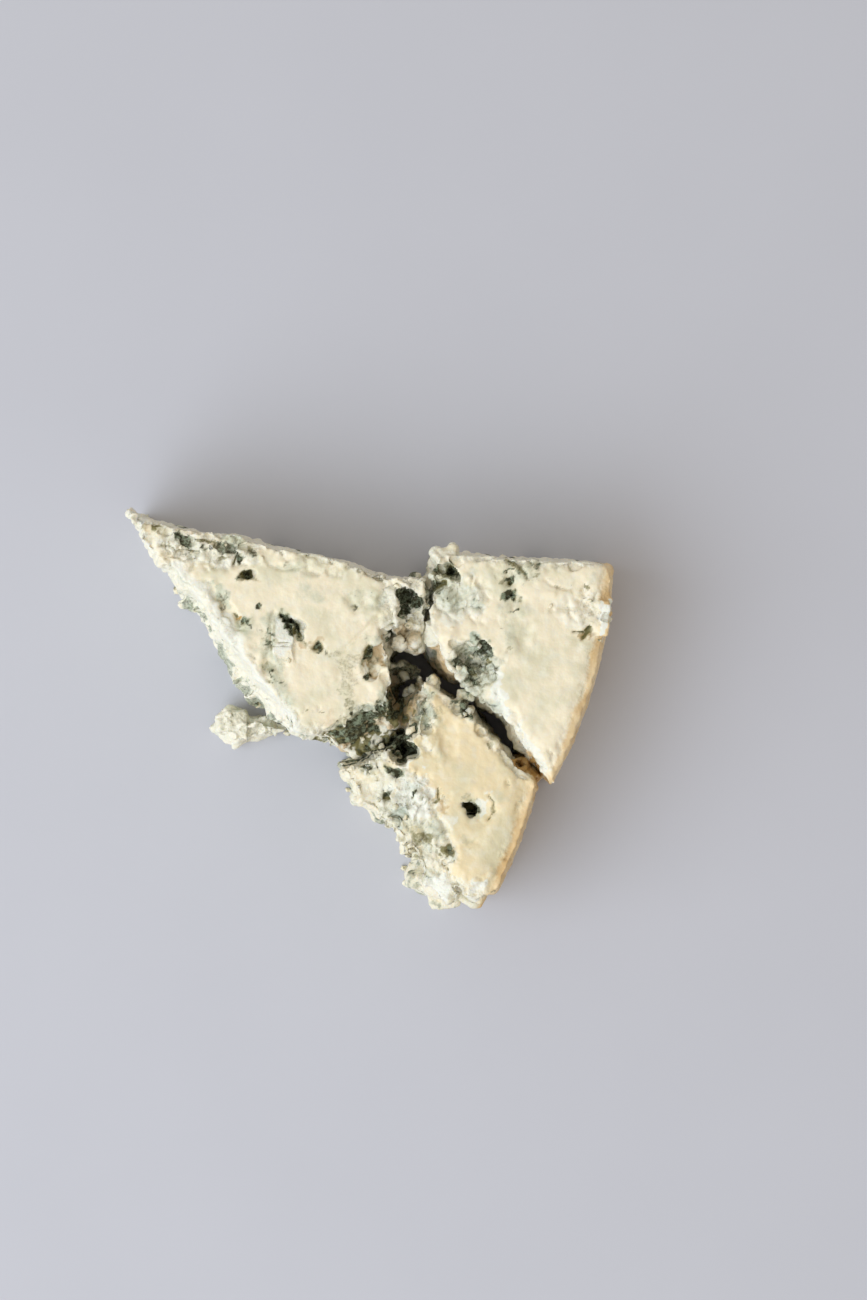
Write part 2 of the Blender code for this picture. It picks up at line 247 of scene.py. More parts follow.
LEFT_HEEL_LUMPS = [
    (438.9, 553.4, 29.6, 1.6, 1.6, 1.8),
    (455.0, 548.4, 29.4, 1.7, 1.5, 1.8),
    (447.2, 557.0, 29.0, 2.1, 2.1, 2.4),
    (607.0, 570.0, 28.0, 1.6, 1.6, 1.9),
    (443.0, 633.0, 27.6, 4.4, 3.8, 4.9),
    (452.0, 628.0, 27.0, 4.0, 3.8, 5.2),
    (570.0, 619.0, 31.5, 1.5, 1.1, 0.9),
    (590.0, 615.0, 31.4, 1.3, 1.1, 0.9),
    (556.0, 612.0, 31.5, 1.2, 0.8, 0.8),
    (582.0, 625.0, 31.4, 1.7, 0.8, 0.6),
    (474.0, 651.0, 28.6, 1.4, 1.0, 1.1),
    (463.0, 662.0, 28.4, 1.5, 1.1, 1.2),
    (480.0, 668.0, 28.6, 1.3, 0.9, 1.2),
    (604.0, 618.0, 31.4, 0.9, 0.8, 1.1),
    (460.0, 571.0, 31.0, 1.6, 2.6, 1.1),
    (452.0, 600.0, 30.6, 2.2, 3.0, 1.5),
    (472.0, 612.0, 31.0, 2.0, 2.4, 1.1),
    (484.0, 596.0, 31.2, 1.6, 2.4, 1.0),
    (492.0, 562.0, 31.2, 2.4, 1.2, 1.0),
    (552.0, 564.0, 31.3, 2.0, 0.8, 0.7),
    (546.0, 594.0, 31.4, 2.6, 0.8, 0.9),
]
RIGHT_HEEL_LUMPS = [
    (432.5, 680.5, 28.4, 1.8, 1.6, 2.2),
    (464.0, 695.5, 28.6, 1.8, 1.5, 1.8),
    (413.0, 879.0, 20.0, 2.2, 1.8, 2.6),
    (481.0, 885.0, 27.0, 1.6, 1.4, 1.6),
    (378.0, 758.0, 28.0, 1.8, 1.9, 1.9),
    (394.0, 760.5, 28.8, 1.5, 1.3, 1.7),
    (359.0, 797.0, 24.0, 1.4, 0.7, 1.0),
    (350.0, 770.0, 22.0, 1.6, 1.4, 2.0),
    (361.0, 778.0, 26.0, 1.9, 1.4, 1.6),
    (375.0, 790.0, 28.6, 2.4, 1.8, 1.8),
    (412.0, 774.0, 30.6, 2.2, 1.5, 1.5),
    (424.0, 782.0, 30.8, 2.2, 1.6, 1.5),
    (386.0, 773.0, 29.6, 1.8, 1.4, 1.6),
    (388.0, 788.0, 29.0, 1.7, 1.5, 1.5),
    (432.0, 806.0, 30.6, 1.7, 1.9, 1.5),
    (416.0, 828.0, 28.6, 2.0, 1.4, 1.6),
    (410.0, 846.0, 25.4, 2.0, 1.6, 1.8),
    (456.0, 866.0, 29.6, 2.4, 1.6, 1.6),
    (466.0, 878.0, 28.8, 2.4, 1.6, 1.8),
    (440.0, 870.0, 25.6, 2.0, 1.8, 2.0),
    (402.0, 825.0, 27.4, 1.8, 1.6, 1.8),
    (424.0, 858.0, 25.8, 2.4, 1.8, 2.2),
    (407.0, 714.0, 16.0, 2.6, 3.6, 8.0),
    (403.0, 724.0, 12.0, 2.2, 2.6, 8.0),
    (414.0, 700.0, 20.0, 1.6, 2.6, 7.0),
    (417.0, 688.0, 20.0, 1.6, 2.0, 5.0),
    (521.0, 758.0, 14.8, 1.2, 1.1, 14.8),
    (527.0, 765.0, 15.2, 1.2, 1.1, 14.8),
    (533.0, 772.0, 16.0, 1.2, 1.1, 14.8),
    (413.0, 760.0, 30.6, 1.8, 2.2, 1.4),
    (438.0, 765.0, 31.0, 2.4, 1.4, 1.1),
    (448.0, 828.0, 30.8, 1.6, 2.4, 1.3),
    (440.0, 812.0, 30.4, 1.8, 2.2, 1.4),
    (411.5, 731.0, 23.0, 0.9, 0.9, 1.2),
]
SIDE_CRUMB_LUMPS = [
    (230.5, 719.5, 4.8, 2.9, 2.7, 2.7),
    (241.0, 733.0, 3.6, 2.7, 2.4, 2.6),
    (264.0, 725.5, 4.0, 2.6, 2.3, 2.4),
    (251.0, 727.0, 4.8, 1.3, 1.0, 1.4),
    (222.0, 727.0, 3.4, 1.1, 1.2, 1.2),
    (226.0, 738.0, 2.6, 1.2, 1.0, 1.2),
    (236.0, 743.0, 2.4, 1.2, 1.0, 1.1),
    (247.0, 741.0, 2.8, 1.1, 0.9, 1.0),
    (231.0, 711.0, 4.2, 1.3, 1.0, 1.1),
    (243.0, 713.0, 5.4, 1.3, 1.0, 1.0),
    (232.0, 725.0, 6.2, 1.2, 1.0, 0.9),
    (246.0, 729.0, 6.0, 1.1, 1.0, 0.9),
    (262.0, 719.0, 5.2, 1.2, 0.9, 0.9),
    (270.0, 728.0, 4.8, 1.1, 1.0, 0.9),
    (258.0, 735.0, 3.6, 1.2, 0.9, 1.0),
    (274.0, 735.0, 2.4, 1.1, 0.8, 0.9),
    (277.0, 722.0, 3.0, 1.0, 0.9, 1.0),
    (284.0, 729.0, 2.2, 1.6, 1.0, 1.4),
]

# Flakes with flat faces: the same as for a lump, and then their turn and lean in degrees.
TIP_FLAKES = [
    (284, 634, 31.8, 2.1, 2.2, 0.9, 0, -16),
    (285, 656, 31.7, 1.9, 2.1, 0.9, 5, 20),
]
LEFT_HEEL_FLAKES = [
    (604, 607, 31.4, 1.3, 1.3, 0.9, 10, 6),
    (604, 629, 31.2, 1.0, 1.4, 0.9, -8, 5),
    (562, 598, 31.4, 1.9, 1.0, 0.7, 20, 12),
    (576, 608, 31.4, 1.6, 1.5, 0.7, -30, -12),
    (588, 601, 31.3, 1.3, 1.0, 0.8, 15, 14),
]
RIGHT_HEEL_FLAKES = [
    (429, 789, 30.8, 2.5, 1.8, 1.0, -20, -14),
    (404, 781, 30.2, 2.2, 1.8, 1.2, 15, 16),
    (398, 798, 29.6, 2.0, 1.7, 1.2, -35, -18),
    (420, 812, 30.0, 2.1, 1.9, 1.2, 30, 14),
    (437, 822, 30.2, 1.6, 2.1, 1.3, -10, -16),
    (411, 799, 29.8, 1.5, 1.4, 1.2, 45, 18),
    (441, 840, 29.8, 1.8, 1.5, 1.4, 10, 12),
    (440, 892, 19.0, 2.7, 2.3, 3.2, 20, 14),
    (473, 894, 20.0, 2.4, 2.0, 3.2, -25, -12),
]

# Broken ledges, each falling to the right of the way between two pixels: the pixels, how steeply
# it falls and the lowest height that it reaches, in millimetres.
TIP_LEDGES = [((336, 722), (392, 697), 1.25, 19.0)]
RIGHT_HEEL_LEDGES = [((404, 770), (462, 872), 0.36, 24.0)]

# Bevels where the top wears down towards an edge: the edge's pixels, its width there and the drop.
LEFT_HEEL_BEVELS = [
    ([(459, 690), (482, 699), (500, 714), (529, 756), (551, 790)], 17, 1.9),
    ([(611, 556), (609, 609), (601, 649), (589, 689), (581, 720), (567, 752), (550, 785)], 18, 1.1),
]
RIGHT_HEEL_BEVELS = [
    ([(434, 676), (456, 694), (485, 722), (513, 755), (536, 780)], 7, 0.8),
    ([(530, 790), (524, 815), (510, 850), (494, 890)], 24, 1.3),
]

# Hollows that cut into the top: pixel, half length and half width in pixels, turn, depth in millimetres.
TIP_HOLLOWS = [
    (376, 657, 21, 14, 80, 2.2),
    (407, 608, 14, 15, 0, 6.5),
    (408, 634, 17, 16, 0, 7.5),
    (389, 629, 13, 6, 75, 6.0),
    (183, 541, 12, 5, -20, 0.9),
    (228, 609, 27, 9, -54, 1.0),
    (270, 666, 9, 16, 0, 0.7),
    (360, 605, 13, 11, 0, 0.6),
    (240, 547, 26, 5, -6, 0.7),
    (287, 568, 18, 6, -6, 0.5),
    (247, 575, 9, 4, -18, 2.6),
    (291, 626, 16, 6, -52, 2.8),
]
LEFT_HEEL_HOLLOWS = [
    (446, 572, 13, 8, 10, 4.2),
    (474, 660, 25, 14, -35, 2.4),
    (484, 650, 13, 5, -48, 3.2),
    (460, 664, 12, 8, -30, 3.0),
    (472, 673, 7, 4, -60, 3.2),
    (462, 598, 10, 18, 20, 0.5),
    (513, 590, 12, 26, 0, 0.6),
    (522, 638, 12, 14, 0, 0.5),
    (436, 586, 14, 6, 38, 1.4),
    (440, 603, 16, 5, 0, 0.7),
]
RIGHT_HEEL_HOLLOWS = [
    (473, 809, 6.5, 6, 0, 6.5),
    (394, 771, 8, 5, -10, 5.0),
    (403, 748, 16, 11, 10, 12.0),
    (361, 763, 10, 4, -35, 5.0),
    (467, 711, 9, 10, 0, 2.0),
    (481, 810, 19, 16, 0, 0.4),
    (426, 712, 8, 24, 0, 1.6),
    (446, 738, 9, 22, 0, 0.6),
]

# Small pits in the top: pixel, half length and half width in pixels, turn, depth in millimetres.
TIP_PITS = [
    (206, 550, 3.0, 2.2, 0, 0.9),
    (229, 546, 7.5, 3.0, -10, 0.8),
    (252, 550, 8.0, 3.2, -5, 0.8),
    (220, 558, 6.0, 3.5, 0, 0.5),
    (160, 528, 4.0, 3.2, 0, 0.6),
    (246, 577, 7.5, 3.8, -18, 1.8),
    (222, 604, 6.0, 2.0, -50, 0.6),
    (236, 618, 8.0, 4.2, -60, 1.0),
    (245, 621, 5.5, 3.5, -20, 1.1),
    (262, 606, 3.5, 1.3, 80, 0.9),
    (293, 628, 13.0, 3.4, -52, 1.6),
    (318, 649, 5.0, 3.4, 35, 1.3),
    (327, 652, 2.0, 2.0, 0, 0.6),
    (357, 607, 4.6, 3.0, 0, 0.9),
    (368, 652, 9.0, 4.2, 80, 1.5),
    (367, 676, 3.2, 3.0, 0, 1.2),
    (291, 723, 6.5, 3.6, -40, 2.8),
    (268, 682, 4.6, 2.4, 10, 0.6),
    (275, 700, 3.0, 2.6, 0, 0.5),
    (304, 709, 2.0, 1.6, 0, 0.4),
    (317, 709, 2.0, 1.6, 0, 0.4),
    (352, 706, 3.0, 2.0, 0, 0.5),
]
LEFT_HEEL_PITS = [
    (449, 572, 6.0, 4.0, 10, 2.0),
    (507, 569, 3.6, 2.2, 0, 1.1),
    (509, 582, 7.0, 5.6, 0, 1.2),
    (510, 582, 3.0, 3.0, 0, 1.0),
    (509, 598, 5.6, 2.4, 10, 1.8),
    (512, 610, 4.0, 1.4, 0, 0.6),
    (538, 565, 2.6, 3.0, 0, 0.7),
    (535, 579, 2.0, 1.6, 0, 0.4),
    (569, 568, 3.0, 1.8, 0, 0.3),
    (584, 588, 3.4, 2.4, 0, 0.6),
    (585, 634, 9.0, 4.8, 20, 1.3),
    (510, 650, 3.0, 2.0, 0, 0.4),
    (471, 674, 6.0, 4.0, -60, 1.6),
    (491, 663, 5.0, 2.6, -30, 1.2),
    (520, 725, 6.0, 2.6, -20, 0.5),
]
RIGHT_HEEL_PITS = [
    (480, 809, 18.0, 15.0, 0, 0.4),
    (472, 809, 4.0, 5.0, 20, 3.0),
    (413, 794, 1.6, 2.8, 0, 1.6),
    (384, 798, 4.0, 6.5, 20, 1.3),
    (422, 797, 2.6, 3.6, 0, 0.8),
    (446, 851, 6.0, 6.5, 0, 0.9),
    (448, 872, 4.0, 2.4, 30, 0.8),
    (486, 743, 3.0, 3.4, 30, 0.4),
    (506, 784, 4.4, 4.4, 0, 0.5),
    (493, 891, 2.6, 2.0, 0, 0.7),
    (507, 857, 4.0, 3.0, 0, 0.6),
    (420, 838, 12.0, 6.0, -35, 0.45),
]

# Cracks and scratches: their pixels, half width in pixels and depth in millimetres.
TIP_CRACKS = [
    ([(238, 553), (236, 558), (234, 564)], 1.8, 1.1),
    ([(196, 539), (208, 540), (220, 542)], 2.2, 0.8),
    ([(160, 546), (170, 545), (176, 551), (186, 549), (198, 552)], 1.8, 0.7),
    ([(166, 558), (176, 556), (184, 561), (194, 558)], 1.8, 0.6),
    ([(275, 626), (271, 640), (266, 654)], 1.8, 0.4),
    ([(379, 616), (360, 634), (340, 652)], 2.6, 0.4),
    ([(272, 644), (284, 642), (296, 645)], 1.4, 0.5),
    ([(270, 566), (286, 570), (304, 566)], 1.6, 0.35),
]
LEFT_HEEL_CRACKS = [
    ([(426, 596), (434, 588), (444, 581)], 3.2, 1.6),
    ([(510, 560), (518, 565), (524, 572), (527, 578)], 2.0, 0.8),
    ([(472, 575), (472, 585), (466, 594), (458, 600), (458, 612)], 2.0, 0.5),
    ([(574, 630), (582, 631), (590, 627)], 1.6, 1.0),
    ([(544, 580), (556, 587), (568, 590)], 1.8, 0.3),
]
RIGHT_HEEL_CRACKS = [
    ([(489, 797), (494, 802), (495, 811), (489, 819)], 1.7, 0.6),
    ([(438, 790), (440, 800), (434, 804)], 1.8, 0.9),
    ([(388, 816), (398, 812), (408, 814), (412, 824)], 1.8, 0.5),
    ([(436, 716), (448, 710), (456, 708)], 1.6, 0.4),
]

# Where the cut top has crumbled away into curds: pixel, half length and half width, turn, strength.
CRUMBLED = [
    (190, 550, 52, 16, -14, 1.0),
    (240, 554, 44, 12, -12, 0.9),
    (300, 562, 36, 7, -12, 0.5),
    (150, 535, 14, 12, -40, 0.8),
    (284, 645, 14, 24, 0, 0.6),
    (404, 600, 26, 26, 0, 1.0),
    (404, 632, 24, 30, 0, 1.0),
    (372, 726, 44, 26, 20, 1.0),
    (376, 658, 14, 20, 0, 0.5),
    (444, 572, 16, 14, 0, 0.8),
    (474, 662, 30, 20, -35, 0.9),
    (577, 612, 26, 22, 0, 0.75),
    (604, 615, 9, 22, 0, 0.8),
    (456, 598, 28, 36, 0, 0.75),
    (440, 640, 14, 16, 0, 0.35),
    (530, 552, 70, 8, -3, 0.5),
    (300, 560, 70, 6, -14, 0.35),
    (190, 572, 40, 7, -44, 0.6),
    (500, 715, 10, 46, 26, 0.5),
    (385, 800, 48, 48, 0, 1.0),
    (372, 762, 36, 22, 0, 1.0),
    (428, 862, 30, 34, 0, 1.0),
    (468, 893, 26, 16, 0, 1.0),
    (426, 716, 15, 36, 0, 0.9),
    (465, 706, 14, 14, 0, 0.8),
    (545, 762, 16, 14, -40, 0.6),
]

# Where mould runs through the paste: pixel, half length and half width, turn, strength.
MOULDY = [
    (180, 548, 32, 14, -14, 0.5),
    (238, 545, 36, 11, -10, 0.5),
    (285, 565, 26, 9, -8, 0.45),
    (222, 598, 16, 18, -40, 0.5),
    (240, 630, 12, 24, -30, 0.6),
    (270, 655, 14, 28, 10, 0.65),
    (268, 700, 18, 20, -40, 0.5),
    (360, 605, 24, 18, 0, 0.45),
    (345, 680, 18, 20, 0, 0.3),
    (375, 655, 16, 26, 0, 0.5),
    (403, 585, 24, 12, 0, 0.5),
    (362, 722, 46, 26, 20, 0.9),
    (443, 580, 22, 22, 0, 0.8),
    (462, 600, 18, 26, 0, 0.5),
    (470, 665, 34, 22, -35, 0.8),
    (484, 700, 16, 26, 40, 0.5),
    (520, 570, 26, 16, 0, 0.6),
    (512, 608, 20, 30, 0, 0.4),
    (565, 590, 28, 18, 0, 0.3),
    (520, 640, 20, 22, 0, 0.35),
    (585, 635, 16, 12, 0, 0.5),
    (528, 738, 22, 12, -40, 0.3),
    (355, 762, 22, 16, -20, 0.9),
    (385, 780, 30, 22, -20, 0.35),
    (384, 805, 18, 16, 0, 0.5),
    (406, 820, 26, 11, -20, 0.6),
    (424, 842, 18, 12, 0, 0.45),
    (448, 855, 10, 10, 0, 0.4),
    (420, 880, 18, 14, 0, 0.6),
    (428, 710, 14, 32, 0, 0.6),
    (445, 735, 14, 24, 0, 0.45),
    (472, 845, 14, 12, 0, 0.5),
    (466, 708, 16, 16, 0, 0.7),
]

# The stains that the photograph shows on the top, with some painted highlight among the chalk,
# by the attribute that holds each: pixel, half length and half width in pixels, turn, strength.
STAINS = {
    "mould": [
        (183, 540, 11, 4.6, -20, 0.75),
        (229, 546, 8, 2.6, -10, 0.6),
        (251, 550, 8, 3.2, -5, 0.55),
        (236, 559, 5.5, 1.6, 70, 0.8),
        (247, 575, 7.5, 3.4, -18, 0.9),
        (206, 550, 2.6, 2, 0, 0.7),
        (222, 604, 6, 1.8, -50, 0.5),
        (245, 620, 5.5, 3.6, -20, 0.8),
        (262, 605, 3.6, 1.2, 80, 0.8),
        (292, 627, 14, 4, -52, 1.0),
        (318, 649, 4, 3, 35, 0.7),
        (327, 652, 1.8, 1.8, 0, 0.5),
        (357, 607, 4, 2.4, 0, 0.6),
        (368, 652, 9, 4, 80, 0.7),
        (367, 676, 3, 3, 0, 0.8),
        (291, 722, 6.5, 3.6, -40, 0.8),
        (263, 711, 5, 3.6, -50, 0.6),
        (446, 571, 10, 5.6, 10, 1.0),
        (436, 587, 9, 2.4, 38, 0.7),
        (485, 651, 10, 4.6, -48, 0.7),
        (472, 660, 14, 7, -40, 0.6),
        (460, 662, 10, 7, 20, 0.75),
        (471, 673, 6, 4, -60, 0.8),
        (491, 663, 5, 2.6, -30, 0.8),
        (507, 569, 3.6, 2, 0, 0.8),
        (509, 582, 5, 4.4, 0, 0.8),
        (509, 598, 5.6, 2.2, 10, 1.0),
        (512, 610, 4, 1.2, 0, 0.7),
        (526, 575, 4, 1.6, -50, 0.8),
        (538, 564.5, 2.2, 2.6, 0, 0.7),
        (467, 711, 6, 8, 0, 0.75),
        (384, 798, 3.4, 6, 20, 0.75),
        (413, 794, 1.4, 2.6, 0, 1.0),
        (473, 808, 5, 5.4, 0, 1.0),
        (394, 771, 7, 4, -10, 1.0),
        (446, 852, 5, 6, 0, 0.6),
        (348, 757, 5, 5, 0, 0.8),
        (361, 763, 9, 3.4, -35, 0.85),
        (421, 712, 3.4, 14, 0, 0.5),
        (493, 891, 2.2, 1.6, 0, 0.7),
    ],
    "olive": [
        (186, 551, 30, 10, -12, 0.2),
        (350, 672, 12, 24, 0, 0.35),
        (240, 716, 12, 7, 0, 0.4),
        (254, 728, 9, 7, 0, 0.35),
        (160, 528, 4, 3, 0, 0.8),
        (208, 541, 13, 2.4, -8, 0.6),
        (220, 558, 6, 3.6, 0, 0.55),
        (247, 577, 11, 7, -18, 0.5),
        (241, 636, 4.4, 2.8, 0, 0.5),
        (268, 681, 5, 2.6, 0, 0.6),
        (304, 709, 1.8, 1.6, 0, 0.6),
        (317, 709, 1.8, 1.6, 0, 0.6),
        (352, 706, 4, 2.4, 0, 0.5),
        (284, 644, 11, 1.8, 5, 0.5),
        (417, 595, 5, 4.6, 0, 0.5),
        (445, 573, 14, 9, 10, 0.5),
        (519, 568, 12, 2.6, -45, 0.65),
        (535, 579, 2.2, 1.6, 0, 0.5),
        (569, 568, 3, 2, 0, 0.5),
        (584, 587, 4, 3, 0, 0.6),
        (509, 582, 8, 6, 0, 0.45),
        (556, 586, 14, 3.4, -14, 0.4),
        (585, 634, 9, 5, 20, 0.4),
        (588, 645, 4, 2, 0, 0.3),
        (510, 650, 3, 2, 0, 0.45),
        (486, 743, 3, 3.4, 30, 0.5),
        (506, 784, 4, 4, 0, 0.4),
        (521, 805, 5, 5, 0, 0.25),
        (420, 838, 13, 7, -35, 0.6),
        (445, 852, 8, 8, 0, 0.7),
        (448, 872, 3.4, 2.2, 30, 0.7),
        (396, 824, 3.4, 3.2, 0, 0.5),
        (495, 808, 2.2, 11, -6, 0.4),
        (441, 714, 7, 2, 10, 0.35),
        (463, 662, 14, 8, 10, 0.4),
        (350, 757, 12, 8, -20, 0.5),
        (385, 806, 5, 8, 0, 0.35),
        (439, 795, 3, 7, 0, 0.5),
        (470, 804, 9, 8, 0, 0.3),
    ],
    "mint": [
        (222, 595, 11, 9, -30, 0.75),
        (233, 537, 15, 3.4, -6, 0.7),
        (287, 567, 18, 7, -8, 0.55),
        (360, 596, 12, 5, 0, 0.5),
        (354, 624, 3.4, 8, 0, 0.35),
        (269, 661, 8, 15, 10, 0.7),
        (275, 699, 3.4, 3.4, 0, 0.6),
        (333, 685, 4.4, 10, 0, 0.4),
        (348, 664, 13, 28, 0, 0.3),
        (262, 722, 12, 8, 0, 0.4),
        (456, 590, 24, 30, 20, 0.5),
        (180, 577, 9, 14, 45, 0.6),
        (469, 587, 7, 10, 0, 0.55),
        (463, 601, 7, 10, 20, 0.5),
        (451, 605, 4.4, 12, 0, 0.5),
        (440, 582, 12, 7, 30, 0.4),
        (520, 636, 12, 15, 0, 0.35),
        (512, 600, 9, 14, 0, 0.3),
        (425, 710, 8, 22, 0, 0.75),
        (439, 723, 6, 5, 0, 0.5),
        (446, 745, 5, 16, 0, 0.35),
        (400, 817, 16, 8, -18, 0.7),
        (481, 809, 13, 11, 0, 0.45),
        (472, 841, 8, 5, 0, 0.5),
        (419, 878, 10, 9, 0, 0.65),
        (290, 728, 10, 7, 0, 0.6),
        (330, 747, 8, 6, 0, 0.7),
        (482, 690, 12, 16, 30, 0.35),
        (466, 676, 14, 10, -30, 0.5),
        (388, 805, 14, 12, 0, 0.45),
        (415, 830, 16, 8, -30, 0.55),
        (420, 850, 12, 7, -30, 0.3),
        (480, 652, 18, 11, -40, 0.95),
        (555, 583, 20, 8, -10, 0.25),
        (377, 668, 6, 8, 0, 0.3),
        (362, 770, 14, 8, -20, 0.5),
    ],
    "ochre": [
        (152, 526, 9, 5, -25, 0.5),
        (193, 532, 16, 4, -12, 0.45),
        (236, 618, 7, 4.4, -60, 1.0),
        (253, 578, 8, 3.4, -18, 0.6),
        (318, 648, 6, 5, 35, 0.6),
        (300, 648, 7, 8, 0, 0.6),
        (330, 724, 10, 11, 0, 0.4),
        (386, 606, 8, 13, 0, 0.35),
        (313, 625, 16, 12, 0, 0.25),
        (378, 657, 12, 18, 0, 0.75),
        (585, 635, 8, 5, 10, 0.75),
        (443, 810, 10, 8, -10, 0.6),
        (427, 789, 12, 10, 0, 0.4),
        (384, 724, 8, 6, 0, 0.4),
        (206, 566, 12, 8, 0, 0.25),
        (440, 562, 10, 8, 0, 0.25),
        (447, 560, 16, 6, 0, 0.3),
        (452, 850, 10, 8, 0, 0.3),
        (478, 770, 34, 22, -40, 0.25),
        (436, 702, 12, 8, 0, 0.4),
        (520, 545, 70, 24, 0, 0.15),
    ],
    "chalk": [
        (285, 640, 10, 22, 0, 0.7),
        (417, 582, 10, 8, 0, 0.4),
        (458, 602, 24, 36, 20, 0.5),
        (604, 608, 6, 6.5, 0, 1.0),
        (605, 629, 5.4, 7, 0, 1.0),
        (575, 610, 26, 22, 0, 0.4),
        (604, 618, 6, 5, 0, 1.0),
        (485, 808, 10, 13, 0, 0.65),
        (424, 714, 7, 28, 0, 0.5),
        (413, 800, 27, 24, 0, 0.75),
        (370, 785, 30, 26, 0, 0.4),
        (439, 891, 13, 16, 0, 0.8),
        (470, 896, 14, 9, 0, 0.7),
        (481, 885, 10, 9, 0, 0.7),
        # The next two marks whiten the left heel's ridge that faces the light: partly the curd's own white,
        # partly painted highlight.
        (497, 690, 9, 42, 18, 0.75),
        (532, 755, 10, 34, 32, 0.7),
        (345, 748, 18, 3.4, -28, 1.0),
        (375, 733, 12, 3.4, 10, 0.9),
        # The next two marks whiten the tip's lit edge near its point: partly the curd's own white, partly
        # painted highlight.
        (137, 519, 6, 8, 0, 0.8),
        (148, 546, 12, 9, -40, 0.7),
        (404, 765, 10, 14, 0, 0.6),
        (430, 640, 8, 20, 0, 0.4),
        (380, 600, 20, 10, 0, 0.2),
        (445, 826, 9, 24, 0, 0.5),
        (438, 838, 14, 16, 0, 0.5),
    ],
}

# The same, for what lies deeper than the top: the sunk corners and the crevice.
# Besides the mould there, much of this is painted shade: brown and olive on the crevice walls
# and in the slit, and near-black in the deepest holes.
DEEP_STAINS_AND_PAINTED_SHADE = {
    "mould": [
        (406, 603, 17, 14, 0, 1.0),
        (391, 628, 14, 6, 75, 1.0),
        (362, 719, 42, 24, 22, 1.2),
        (378, 744, 14, 9, 10, 0.8),
        (405, 640, 16, 14, 0, 0.15),
        # Painted shade: the next two marks lay near-black where the crevice under the tip's lumps and the
        # deep hole in the right heel lie in shade.
        (408, 672, 20, 20, 0, 0.6),
        (404, 745, 20, 18, 0, 1.1),
        (420, 712, 4, 20, 0, 0.5),
        (426, 600, 8, 18, 0, 0.6),
    ],
    "olive": [
        (362, 722, 46, 30, 18, 1.2),
        (406, 634, 14, 14, 0, 0.35),
        # Painted shade: the next three marks lay olive-brown on the crevice walls and on the slope under
        # the lobe of the left heel.
        (408, 672, 18, 16, 0, 0.5),
        (402, 712, 14, 20, 0, 0.35),
        (440, 672, 22, 8, -35, 0.6),
    ],
    "ochre": [
        (406, 636, 12, 12, 0, 0.6),
        # Painted shade: brown on the shaded crevice wall of the right heel.
        (402, 714, 13, 18, 0, 0.8),
        # Painted glow: the next two marks lay strong orange where light shines through the rind and paste
        # at the slit's end.
        (522, 760, 14, 9, -45, 1.6),
        (532, 772, 11, 7, -50, 1.6),
        # Painted shade: brown in the slit and on the crevice wall.
        (500, 730, 30, 10, -48, 0.5),
        (400, 700, 24, 42, 0, 0.7),
        (356, 734, 28, 13, 20, 0.7),
        # Painted shade: brown on the slope under the lobe of the left heel.
        (440, 664, 26, 12, -35, 0.75),
    ],
    "chalk": [
        (384, 725, 9, 7, 0, 0.5),
        (375, 734, 12, 3.4, 10, 0.9),
    ],
    "mint": [
        (360, 711, 16, 5, 15, 0.5),
        (408, 691, 4, 7, 0, 0.9),
        (404, 667, 10, 10, 0, 0.4),
    ],
}
# Clean curd that stands out of the mould.
BARE = [
    (384, 725, 9, 7, 0, 0.85),
    (375, 733, 12, 3.2, 10, 0.9),
    (345, 748, 19, 3.2, -28, 1.0),
    (394, 760, 9, 7, 0, 0.8),
    (378, 757, 9, 8, 0, 0.7),
    (408, 624, 4, 5, 0, 0.6),
    (284, 646, 9, 18, 0, 0.7),
    (236, 618, 7, 4.4, -60, 0.7),
    (446, 628, 15, 18, 0, 0.95),
    (470, 655, 5, 3, 30, 0.5),
    (480, 660, 5, 3, -30, 0.5),
    (260, 562, 14, 6, 0, 0.5),
    (448, 671, 26, 6, -38, 0.8),
    (440, 894, 14, 13, 0, 0.9),
    (474, 894, 16, 14, 0, 0.8),
    (205, 566, 14, 6, 0, 0.6),
]
# Where faces are smooth: the flake on the tip, the lobe of the left heel and the right heel's end.
SMOOTH = [
    (285, 644, 12, 22, 0, 1.0),
    (443, 634, 20, 20, 0, 0.8),
    (417, 879, 11, 11, 0, 1.0),
    (438, 893, 14, 13, 0, 1.0),
    (474, 892, 17, 15, 0, 1.0),
    (405, 782, 12, 10, 0, 0.5),
    (434, 790, 12, 9, 0, 0.6),
]
# Where mould grew in fibres, how those on the ledge lie, and how large they are in millimetres.
FIBROUS = [
    (362, 722, 46, 26, 22, 1.0),
    (406, 606, 18, 16, 0, 1.0),
    (406, 634, 16, 14, 0, 0.8),
    (474, 660, 28, 18, -35, 1.0),
    (446, 572, 14, 9, 0, 0.8),
]
FIBRE_TURN = math.radians(24)
FIBRE_LENGTH = 4.0
FIBRE_WIDTH = 0.8
FIBRE_DEPTH = 1.6
# The middle of the smooth white band below the tip's lit edge; its chalk white is partly the broken curd's
# own and partly painted highlight.
SMOOTH_BAND = [(178, 566), (205, 592), (236, 640), (258, 680), (298, 730)]
# Shifts that choose which part of the endless noise the veins and the pockets of mould take.
VEIN_SHIFT = Vector((5.0, 3.0, 1.0))
POCKET_SHIFT = Vector((45.0, 10.0, 20.0))

